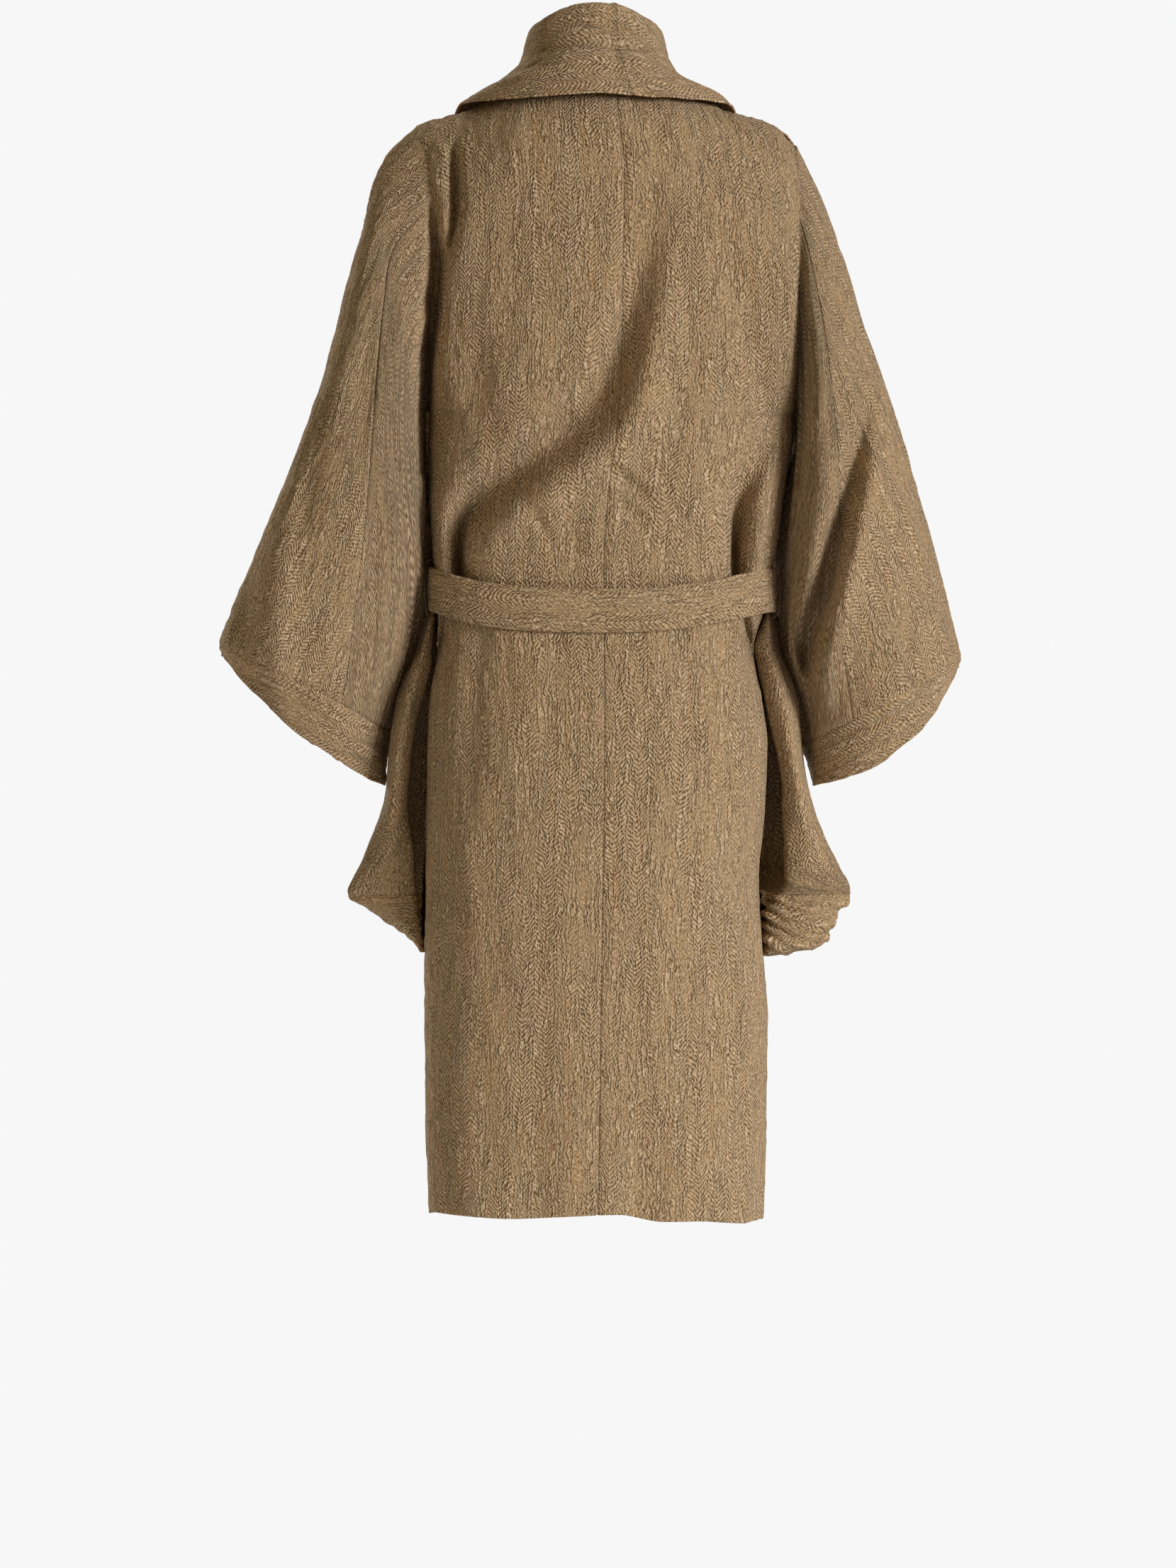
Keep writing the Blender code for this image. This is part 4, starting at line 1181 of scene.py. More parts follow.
@dataclass
class Backs:
    """The two backs, joined by the centre back seam."""

    form: BodyForm
    folds: FoldField
    girth_share: float = 1.22
    wave_top: float = -0.9
    wave_fall: float = 0.34
    pattern: float = 0.7
    crinkle: float = 1.0

    def grid(self, side: Side) -> Grid:
        """The outer face of one back, its columns running from the wearer's left to right."""
        width = float(self.form.half_width(side, UNDERARM_HEIGHT)) * self.girth_share
        shares = stations(width, self.form.step)
        rows = []
        for level in self.form.levels():
            row = BodyRow(self.form, level, Facing.BACK)
            seam = float(row.angle(self.form.seam_line(self.form.height(level, 0.0))))
            start, end = (row.end[side], seam) if side is Side.LEFT else (seam, row.end[side])
            rows.append(row.points(start + (end - start) * shares))
        zero = Edge.LAST_COLUMN if side is Side.LEFT else Edge.FIRST_COLUMN
        return Grid(np.array(rows), out=-1, zero=zero, shift=self.pattern * side)

    def build(self, side: Side) -> Piece:
        """One back with its folds."""
        grid = self.grid(side)
        fall = ease((self.wave_top - grid.points[..., 2]) / self.wave_fall)
        grid.points[..., 2] += self.form.hem_wave(grid.points[..., 0]) * fall
        grid.press(self.folds)
        seams = (Edge.FIRST_COLUMN, Edge.LAST_COLUMN)
        grid.crinkle(self.crinkle, seams)
        grid.sink_seams((grid.zero,))
        rests_on = (f"front_{side.word}", "belt")
        return Piece.of_grid(f"back_{side.word}", grid, Held.HUNG, rests_on, seams)


@dataclass
class Fronts:
    """The two fronts, the wearer's left one lying over the right."""

    form: BodyForm
    folds: FoldField
    setback: float = 0.015
    setback_from: float = 0.150
    setback_fade: float = 0.085
    setback_top: float = -0.130
    width: float = 0.33
    pattern: float = 1.9
    crinkle: float = 1.0

    def set_back(self, side: Side, points: Array) -> Array:
        """The wearer's right front moved in under the left one near the middle."""
        if side is Side.RIGHT:
            inner = ease((self.setback_from - points[..., 0]) / self.setback_fade)
            low = ease((self.setback_top - points[..., 2]) / self.setback_fade)
            points[..., 1] -= self.setback * inner * low
        return points

    def point(self, side: Side, across: float, level: float) -> Array:
        """Point of a front at a place across and a level."""
        row = BodyRow(self.form, level, Facing.FRONT)
        return self.set_back(side, row.points(np.array([float(row.angle(across))])))[0]

    def free_edge(self, side: Side, row: BodyRow) -> float:
        """Angle at which a front's row reaches its free edge."""
        past = 0.0
        for _ in range(SETTLE_STEPS):
            past = float(self.form.front_line(self.form.height(row.level, past)))
        return float(row.angle(-side * past))

    def build(self, side: Side) -> Piece:
        """One front with its folds."""
        shares = stations(self.width, PLAIN_STEP)
        rows = []
        for level in self.form.levels():
            row = BodyRow(self.form, level, Facing.FRONT)
            start, end = row.end[side], self.free_edge(side, row)
            rows.append(row.points(start + (end - start) * shares))
        points = self.set_back(side, np.array(rows))
        grid = Grid(points, out=-side, zero=Edge.LAST_COLUMN, shift=self.pattern * side)
        grid.press(self.folds)
        seams = (Edge.FIRST_COLUMN,)
        grid.crinkle(self.crinkle, seams)
        rests_on = (f"back_{side.word}", "belt")
        return Piece.of_grid(f"front_{side.word}", grid, Held.HUNG, rests_on, seams)


@dataclass
class Sleeve:
    """A wide sleeve of an upper and an under piece, and the band at its end."""

    form: BodyForm
    side: Side
    folds: Sequence[FoldField]
    length: float = 0.62
    band_length: float = 0.06
    top_seam: float = math.radians(62.6)
    low_seam: float = math.radians(118.0)
    ring_steps: int = 10
    upper_columns: int = 70
    under_columns: int = 52
    rows: int = 150
    cuff_rows: int = 26
    front_sag: float = 0.5
    oval: float = 2.0
    flattest: float = 3.6
    flat_rise: float = 0.25
    flat_loss: float = 0.75
    flat_loss_from: float = 0.50
    flat_loss_over: float = 0.30
    hang: float = 0.052
    hang_start: float = 0.30
    hang_end: float = 1.15
    hang_end_from: float = 0.7
    tuck: float = 0.006
    edge_waves: tuple = ((3, 0.0016), (5, 0.0020), (9, 0.0010))
    pattern: float = 3.1
    pattern_step: float = 0.13
    crinkle: float = 1.0

    def angles(self, seam: float) -> Array:
        """Angles of all the columns round the sleeve, with the seam behind on a chosen column."""
        outer = np.linspace(0.0, seam, self.upper_columns + 1)
        inner = np.linspace(seam, math.pi, self.under_columns + 1)
        back = np.concatenate([outer, inner[1:]])
        return np.concatenate([back, FULL_TURN - back[-2:0:-1]])

    def flat_at(self, share: float) -> float:
        """Flatness of the outer part of the back, most in the upper half of the wearer's left sleeve."""
        if self.side is Side.RIGHT:
            return self.oval
        loss = self.flat_loss * ease((share - self.flat_loss_from) / self.flat_loss_over)
        more = ease(share / self.flat_rise) * (1.0 - loss)
        return self.oval + (self.flattest - self.oval) * float(more)

    def ring_points(self, ring: Ring, angles: Array, hang: float, flat: float) -> Array:
        """Points of a ring: 0 at its outer side, a right angle at its back.

        Args:
            ring: The ring.
            angles: Angles of the points.
            hang: How far the front half hangs in towards the body.
            flat: Flatness of the outer part of the back, 2 on an oval.

        Returns:
            A point for each angle.
        """
        outer = np.array((ring.outer_x, ring.forward, ring.outer_z))
        inner = np.array((ring.inner_x, ring.forward, ring.inner_z))
        across = (outer - inner) / 2.0
        down = np.array((-across[2], 0.0, across[0]))
        down *= -np.sign(down[2]) / np.linalg.norm(down)
        lift = np.sin(angles)
        depth = np.where(lift > 0.0, ring.back, ring.front)
        sag = np.where(lift > 0.0, ring.sag, -ring.sag * self.front_sag) * lift ** 2
        middle = (outer + inner) / 2.0
        spread = across * np.cos(angles)[:, None] + down * sag[:, None]
        inward = hang * np.maximum(-lift, 0.0) * (1.0 - np.cos(angles)) / 2.0
        spread[:, 0] -= self.side * inward
        outer_back = (lift > 0.0) & (np.cos(angles) > 0.0)
        full = (1.0 - np.clip(np.cos(angles), 0.0, 1.0) ** flat) ** (1.0 / flat)
        depth = depth * np.where(outer_back, full, lift)
        return middle + spread + np.array((0.0, -1.0, 0.0)) * depth[:, None]

    def ring_at(self, share: float) -> Ring:
        """A ring part of the way down the sleeve's table."""
        rings = SLEEVES[self.side]
        places = range(len(rings))
        return Ring(*[float(Profile(places, [getattr(ring, name) for ring in rings])(share * places[-1]))
                      for name in Ring._fields])

    def sleeve_grid(self) -> Array:
        """Points of the sleeve from the armhole to the band's seam."""
        rim = self.form.armhole(self.side)
        top, low = self.angles(self.top_seam), self.angles(self.low_seam)
        coarse = [np.stack([np.interp(top, rim[:, 0], rim[:, k]) for k in (1, 2, 3)], axis=-1)]
        for share in np.linspace(0.0, 1.0, self.ring_steps):
            mix = ease((share * (self.ring_steps - 1) + 1.0) / self.ring_steps)
            hang = self.hang * ease(share / self.hang_start)
            late = ease((share - self.hang_end_from) / (1.0 - self.hang_end_from))
            hang *= 1.0 - (1.0 - self.hang_end) * late
            angles = top + (low - top) * mix
            coarse.append(self.ring_points(self.ring_at(share), angles, hang, self.flat_at(share)))
        return smooth_through(np.array(coarse), stations(self.length, self.length / self.rows))

    def cuff_grid(self) -> Array:
        """Points of the band from its seam to the opening."""
        low = self.angles(self.low_seam)
        first, last = SLEEVES[self.side][-1], CUFF_OPENINGS[self.side]
        rows = []
        for share in stations(self.band_length, self.band_length / self.cuff_rows):
            ring = Ring(*[a + (b - a) * share for a, b in zip(first, last)])
            hang = self.hang * self.hang_end * (1.0 - share)
            row = self.ring_points(ring, low, hang, self.flat_at(1.0))
            waves = sum(size * np.sin(turns * low) for turns, size in self.edge_waves)
            waves = waves * np.maximum(np.sin(low), 0.0) ** 2
            row[:, 2] += self.side * waves * share ** 2
            rows.append(row)
        return np.roll(np.array(rows), self.upper_columns + self.under_columns, axis=1)

    def finish(self, name: str, points: Array, seams: Sequence[Edge], rests_on: str,
               band: bool = False) -> Piece:
        """Fold a grid of the sleeve and make it a wall of cloth.

        Args:
            name: The solid's name.
            points: Smooth points.
            seams: Edges that are sewn.
            rests_on: What it is sewn to.
            band: Whether it is the band, which goes all the way round and has its grain turned.

        Returns:
            The piece.
        """
        shift = self.pattern * self.side + len(name) * self.pattern_step
        grid = Grid(points.copy(), out=-int(self.side), closed=band, turned=band, shift=shift)
        for folds in self.folds:
            grid.press(folds)
        grid.crinkle(self.crinkle, seams)
        if band:
            grid.sink_seams(seams)
        else:
            grid.sink_seams([edge for edge in seams if edge is not Edge.FIRST_ROW])
            grid.tuck_first_row(self.tuck)
        return Piece.of_grid(name, grid, Held.HUNG, (rests_on,), seams, faint=FAINT_SEAM)

    def build(self) -> list:
        """The two pieces of the sleeve and its band."""
        word = self.side.word
        points = self.sleeve_grid()
        count = points.shape[1]
        upper = np.arange(-self.upper_columns, self.upper_columns + 1) % count
        under = np.arange(self.upper_columns, count - self.upper_columns + 1)
        sewn = (Edge.FIRST_COLUMN, Edge.LAST_COLUMN, Edge.FIRST_ROW, Edge.LAST_ROW)
        back, top = f"back_{word}", f"sleeve_upper_{word}"
        return [
            self.finish(top, points[:, upper], sewn, back),
            self.finish(f"sleeve_under_{word}", points[:, under], sewn, back),
            self.finish(f"cuff_{word}", self.cuff_grid(), (Edge.FIRST_ROW,), top, band=True),
        ]


@dataclass
class Collar:
    """A shawl collar in two halves, from behind the neck down each front as a lapel."""

    form: BodyForm
    fronts: Fronts
    folds: FoldField
    roll: float = 0.0065
    seam_across: float = 0.022
    base_past: float = 0.001
    roll_lift: float = 0.55
    fall_share: float = 0.4
    edge_drop: float = 0.35
    stand_rows: int = 12
    roll_rows: int = 12
    fall_rows: int = 30
    turned_edge: float = 0.010
    line_width: float = 0.0018
    line_depth: float = 0.0014
    waves: Cell = Cell(0.034, 0.21, 3.0)
    fold_height: float = 0.0046
    fold_fade: float = 0.02
    corner_drop: float = 0.011
    corner_out: float = 0.036
    corner_out_over: float = 0.028
    corner_ahead: float = 0.050
    corner_ahead_over: float = 0.02
    length: float = 0.80
    pattern: float = 5.3
    crinkle: float = 0.7

    def lapel_station(self, side: Side, height: float) -> Array:
        """A section where the collar folds over the edge of a front and lies on it.

        Args:
            side: Left or right.
            height: Height of the section.

        Returns:
            The section's four points.
        """
        past, width, lift = (float(table_profile(LAPELS, name)(height)) for name in Lapel._fields[1:])
        edge_past = float(self.form.front_line(height))
        level = self.form.level_of(height, edge_past)

        def on_front(inward: float, out: float) -> Array:
            """Point off the front, measured from its free edge."""
            point = self.fronts.point(side, -side * (edge_past + inward), level)
            return point + np.array((0.0, out, 0.0))

        edge = on_front(-width, lift) - np.array((0.0, 0.0, width * self.edge_drop))
        return np.array([
            on_front(self.base_past, 0.0), on_front(past, lift * self.roll_lift),
            on_front(-width * self.fall_share, lift), edge,
        ])

    def profile(self, station: Array) -> Array:
        """Section of the collar: up the stand, over the roll, down the fall to its free edge."""
        base, roll, fall, edge = station
        up = roll - (base + fall) / 2.0
        up /= np.linalg.norm(up)
        out = fall - base
        out = out - up * (out @ up)
        out /= np.linalg.norm(out)
        radius = min(self.roll, float((fall - base) @ out) / 2.0)
        hub = roll - up * radius
        angles = np.linspace(0.0, math.pi, self.roll_rows)[:, None]
        arc = hub + (up * np.sin(angles) - out * np.cos(angles)) * radius
        stand = base + (arc[0] - base) * np.linspace(0.0, 1.0, self.stand_rows)[:, None]
        drop = smooth_through(np.array([arc[-1], fall, edge]), np.linspace(0.0, 1.0, self.fall_rows))
        return np.concatenate([stand[:-1], arc, drop[1:]])

    def sections(self, side: Side) -> Array:
        """The collar's coarse sections from the centre back to the end of the lapel."""
        mirror = np.array((side, 1.0, 1.0))
        behind = [self.rounded(np.array(station)) * mirror for station in COLLAR_STATIONS]
        share = self.seam_across / COLLAR_STATIONS[1].base[0]
        ahead = np.array(COLLAR_STATIONS[1])
        seam = behind[0] + (ahead - behind[0]) * share
        behind = [seam] + (behind[1:] if side is Side.RIGHT else behind)
        lapel = [self.lapel_station(side, height) for height in LAPEL_LEVELS[side]]
        return np.array([self.profile(station) for station in behind + lapel])

    def rounded(self, station: Array) -> Array:
        """A section with its roll lowered where the collar's top turns down at the sides of the neck."""
        out = ease((station[1, 0] - self.corner_out) / self.corner_out_over)
        behind = ease((self.corner_ahead - station[1, 1]) / self.corner_ahead_over)
        station[1, 2] -= self.corner_drop * out * behind
        return station

    def drape(self, grid: Grid) -> None:
        """Soft folds that run round the collar, and the line of the turned edge."""
        from_edge = grid.from_edge(Edge.LAST_COLUMN)
        fade = ease(grid.along / self.fold_fade) * ease(from_edge / self.fold_fade)
        waves = RIPPLES.spread(grid.across, grid.along, self.waves)
        line = np.exp(-((from_edge - self.turned_edge) / self.line_width) ** 2)
        grid.raise_by(self.fold_height * waves * fade - self.line_depth * line)

    def build(self, side: Side) -> Piece:
        """One half of the collar."""
        points = smooth_through(self.sections(side), stations(self.length, PLAIN_STEP))
        grid = Grid(points, out=side, shift=self.pattern * side)
        seams = (Edge.FIRST_ROW,)
        self.drape(grid)
        grid.press(self.folds)
        grid.crinkle(self.crinkle, seams)
        grid.sink_seams(seams)
        rests_on = (f"front_{side.word}", f"back_{side.word}")
        return Piece.of_grid(f"collar_{side.word}", grid, Held.FOLDED, rests_on, seams, COLLAR_CLOTH)


@dataclass
class DrapedPocket:
    """A pocket that hangs from the belt at the side, with a gathered panel under it."""

    form: BodyForm
    side: Side
    front_angle: float = math.radians(36.0)
    cheek_angle: float = math.radians(62.0)
    seam_depth: float = 0.006
    clearance: float = 0.0005
    roll_share: float = 0.5
    roll_depth: float = 0.002
    out_depth: float = 0.012
    least_gap: float = 0.002
    least_roll: float = 0.006
    wall_share: float = 0.72
    lip: float = 0.003
    lip_share: float = 0.6
    gather_depth: float = 0.0115
    gather_root: tuple = (0.186, -0.862)
    gather_fall: float = 0.034
    gather_step: float = 0.0135
    gather_reach: float = 0.085
    gather_sway: float = 0.004
    gather_waves: Cell = Cell(0.030, 0.020, 2.0)
    gather_patches: Cell = Cell(0.050, 0.012, 9.0)
    gather_mean: float = 0.75
    gather_change: float = 0.45
    crest_level: float = 0.6
    gather_start: float = 0.02
    gather_seam: float = 0.006
    gather_hem: float = 0.012
    left_share: float = 0.25
    lobes: tuple = ((-0.655, 0.050, 0.005), (-0.898, 0.006, -0.007), (-0.934, 0.010, 0.012))
    columns: int = 80
    rows: int = 84
    base_rows: int = 28
    section_length: float = 0.24
    pattern: float = 7.7
    pattern_step: float = 0.2
    crinkle: float = 0.8

    def profile(self, level: PocketLevel) -> Array:
        """Level section of the pocket: from the side seam round the soft back roll to the front."""
        row = BodyRow(self.form, level.height, Facing.FRONT)
        front = row.points(np.array([self.side * self.front_angle]))[0]
        front += self.outward(front) * (CLOTH + self.clearance)
        width = row.width[self.side]
        inner, pleat = (float(table_profile(POCKET_PLEATS[self.side], name)(level.height))
                        for name in Pleat._fields[1:])
        level = level._replace(reach=level.reach + self.fullness(level.height))
        inner = min(max(inner, width + self.least_gap), level.reach - self.least_roll)
        root = width * (1.0 - (pleat / row.depth) ** FLATNESS) ** (1.0 / FLATNESS) + self.clearance
        start = np.array((self.side * root, pleat, level.height))
        wall = np.array((self.side * inner, pleat * self.wall_share, level.height))
        lip_depth = self.roll_depth - level.bulge * self.lip_share
        lip = np.array((self.side * (inner + self.lip), lip_depth, level.height))
        middle = self.side * (inner + self.roll_share * (level.reach - inner))
        roll_back = np.array((middle, self.roll_depth - level.bulge, level.height))
        roll_out = np.array((self.side * level.reach, self.out_depth, level.height))
        cheek = row.points(np.array([self.side * self.cheek_angle]))[0]
        cheek += self.outward(cheek) * level.mouth
        line = smooth_through(np.array([start, wall, lip, roll_back, roll_out, cheek, front]),
                              stations(self.section_length, self.section_length / self.columns))
        return self.clear_of_front(line, row)

    def fullness(self, height: float) -> float:
        """Soft unevenness of the pocket's outline, which the wearer's right one shows."""
        if self.side is Side.LEFT:
            return 0.0
        return sum(size * math.exp(-((height - middle) / width) ** 2) for middle, width, size in self.lobes)

    @staticmethod
    def outward(point: Array) -> Array:
        """Level direction away from the body's middle."""
        flat = np.array((point[0], point[1], 0.0))
        return flat / np.linalg.norm(flat)

    def clear_of_front(self, line: Array, row: BodyRow) -> Array:
        """The section moved out, where needed, so that its wall clears the front."""
        share = np.abs(line[:, 0] / row.width[self.side]) ** FLATNESS
        share += (np.maximum(line[:, 1], 0.0) / row.depth) ** FLATNESS
        scale = share ** (1.0 / FLATNESS)
        least = 1.0 + (CLOTH + self.clearance) / row.depth
        push = np.where((line[:, 1] > self.seam_depth) & (scale < least), least / scale, 1.0)
        line[:, :2] *= push[:, None]
        return line

    def levels(self, panel: Sequence[PocketLevel], rows: int) -> list:
        """Fine levels of a panel, from its first row down to its last."""
        whole = (POCKET_TOPS[self.side],) + POCKETS[self.side] + POCKET_BASES[self.side]
        columns = [table_profile(whole, name) for name in PocketLevel._fields[1:]]
        top, low = panel[0].height, panel[-1].height
        heights = top + (low - top) * stations(abs(top - low), abs(top - low) / rows)
        return [PocketLevel(height, *[float(curve(height)) for curve in columns]) for height in heights]

    def gathers(self, grid: Grid) -> None:
        """Uneven folds of the under panel that swoop out from where it meets the body."""
        out = np.maximum(self.side * grid.points[..., 0] - self.gather_root[0], 0.0)
        down = self.gather_root[1] - grid.points[..., 2]
        level = down - self.gather_fall * (1.0 - np.exp(-out / self.gather_fall))
        level = level + self.gather_sway * RIPPLES.spread(out, down, self.gather_waves)
        crest = np.abs(np.sin(level * math.pi / self.gather_step)) - self.crest_level
        uneven = self.gather_mean + self.gather_change * RIPPLES.spread(out, level, self.gather_patches)
        fade = np.exp(-(out / self.gather_reach) ** 2)
        fade *= ease((down + self.gather_start) / self.gather_start) * ease(grid.along / self.gather_seam)
        fade *= ease(grid.from_edge(Edge.LAST_ROW) / self.gather_hem)
        depth = self.gather_depth * (1.0 if self.side is Side.RIGHT else self.left_share)
        grid.raise_by(depth * crest * uneven * fade)

    def build_panel(self, name: str, levels: Sequence[PocketLevel], under: bool) -> Piece:
        """The pocket or its under panel.

        Args:
            name: The solid's name.
            levels: Fine levels of the panel.
            under: Whether it is the gathered panel underneath.

        Returns:
            The piece.
        """
        points = np.array([self.profile(level) for level in levels])
        shift = self.pattern * self.side + len(name) * self.pattern_step
        grid = Grid(points, out=int(self.side), turned=under, shift=shift)
        if under:
            self.gathers(grid)
        seams = (Edge.FIRST_ROW,) if under else (Edge.LAST_ROW,)
        grid.crinkle(self.crinkle, seams)
        grid.sink_seams(seams)
        held = Held.GATHERED if under else Held.DRAPED
        return Piece.of_grid(name, grid, held, (f"front_{self.side.word}", "belt"), seams, faint=FAINT_SEAM)

    def build(self) -> list:
        """The pocket and its under panel."""
        panel = (POCKET_TOPS[self.side],) + POCKETS[self.side]
        under = panel[-1:] + POCKET_BASES[self.side]
        return [
            self.build_panel(f"pocket_{self.side.word}", self.levels(panel, self.rows), False),
            self.build_panel(f"pocket_base_{self.side.word}", self.levels(under, self.base_rows), True),
        ]


@dataclass
class Belt:
    """The belt as a soft band all the way round."""

    form: BodyForm
    width: float = 0.050
    thickness: float = 0.0045
    clearance: float = 0.001
    side_height: float = -0.533
    back_dip: float = 0.026
    front_dip: float = 0.010
    back_relief: float = 0.0035
    front_relief: float = 0.0045
    columns: int = 300
    face_rows: int = 16
    edge_rows: int = 5
    crown: float = 0.0008
    waves: tuple = ((0.0010, Cell(0.055, 0.030)), (0.0006, Cell(0.021, 0.016)))
    crease_depth: float = 0.0012
    crease_drop: float = 0.0115
    crease_width: float = 0.0016
    crease_sway: float = 0.001
    crease_run: float = 0.09
    outer_share: float = 0.6
    sways: tuple = ((0.0012, 0.071, 0.0), (0.0008, 0.033, 1.0))

    def outline(self, angles: Array) -> tuple:
        """Points of the cloth under the belt and the outward directions, by angle from the back."""
        points = np.zeros((len(angles), 3))
        outward = np.zeros((len(angles), 3))
        folded = np.arcsin(np.sin(angles))
        for facing, dip in ((Facing.BACK, self.back_dip), (Facing.FRONT, self.front_dip)):
            here = np.cos(angles) >= 0.0 if facing is Facing.BACK else np.cos(angles) < 0.0
            row = BodyRow(self.form, self.side_height, facing)
            points[here] = row.points(folded[here])
            points[here, 2] = self.side_height - dip * np.cos(angles[here]) ** 2
            outward[here] = np.stack([np.sin(folded[here]), facing * np.cos(folded[here]),
                                      np.zeros(here.sum())], axis=-1)
        return points, outward

    def room(self, points: Array) -> Array:
        """Distance from the cloth to the belt's inner face."""
        return self.clearance + np.where(points[:, 1] < 0.0, self.back_relief, self.front_relief)

    def section(self) -> Array:
        """Outline of the band: distance out from its inner face, and height, all the way round."""
        half = self.width / 2.0
        radius = self.thickness / 2.0
        turn = np.linspace(0.0, math.pi, self.edge_rows + 2)
        straight = np.linspace(half - radius, radius - half, self.face_rows)
        crown = self.crown * (1.0 - (straight / half) ** 2)
        face = np.stack([self.thickness + crown, straight], axis=-1)
        low = np.stack([radius + radius * np.cos(turn), radius - half - radius * np.sin(turn)], axis=-1)
        back = np.stack([np.zeros(self.face_rows), straight[::-1]], axis=-1)
        top = np.stack([radius - radius * np.cos(turn), half - radius + radius * np.sin(turn)], axis=-1)
        return np.concatenate([face, low[1:-1], back, top[1:-1]])

    def build(self) -> Piece:
        """The band with its soft crease along the lower third and its small waves."""
        angles = math.pi + np.linspace(0.0, FULL_TURN, self.columns, endpoint=False)
        points, outward = self.outline(angles)
        section = self.section()
        run = np.concatenate([[0.0], np.cumsum(np.linalg.norm(np.diff(points, axis=0), axis=1))])
        length = float(run[-1] + np.linalg.norm(points[0] - points[-1]))
        place = np.broadcast_to(run[:, None], (self.columns, len(section)))
        height = np.broadcast_to(section[None, :, 1], place.shape)
        waves = sum(size * RIPPLES.spread(place, height, cell) for size, cell in self.waves)
        off_crease = height + self.crease_drop + self.crease_sway * np.sin(place / self.crease_run)
        crease = self.crease_depth * np.exp(-(off_crease / self.crease_width) ** 2)
        outside = section[None, :, 0] > self.thickness * self.outer_share
        out = section[None, :, 0] + np.where(outside, waves - crease, 0.0)
        sway = sum(size * np.sin(place / reach + start) for size, reach, start in self.sways)
        grid = points[:, None] + outward[:, None] * (self.room(points)[:, None] + out)[..., None]
        grid[..., 2] += height + sway
        faces = MeshMaker.quads(self.columns, len(section), True, True)[:, ::-1]
        girth = np.cumsum(np.linalg.norm(np.diff(section, axis=0, prepend=section[-1:]), axis=1))
        grain = np.stack([np.broadcast_to(girth[None], place.shape), place], axis=-1).reshape(-1, 2)
        maps = {"grain": grain, "seam": np.ones_like(grain)}
        around = float(np.linalg.norm(np.diff(section, axis=0, append=section[:1]), axis=1).sum())
        wraps = ((0, around), (1, length))
        made = MeshMaker.place("cloth_belt", grid.reshape(-1, 3), faces, maps, wraps)
        flat = (self.width + self.thickness, length)
        return Piece(made, "belt", flat, flat[0] * flat[1], Held.STRETCHED, ("back_left", "back_right"))


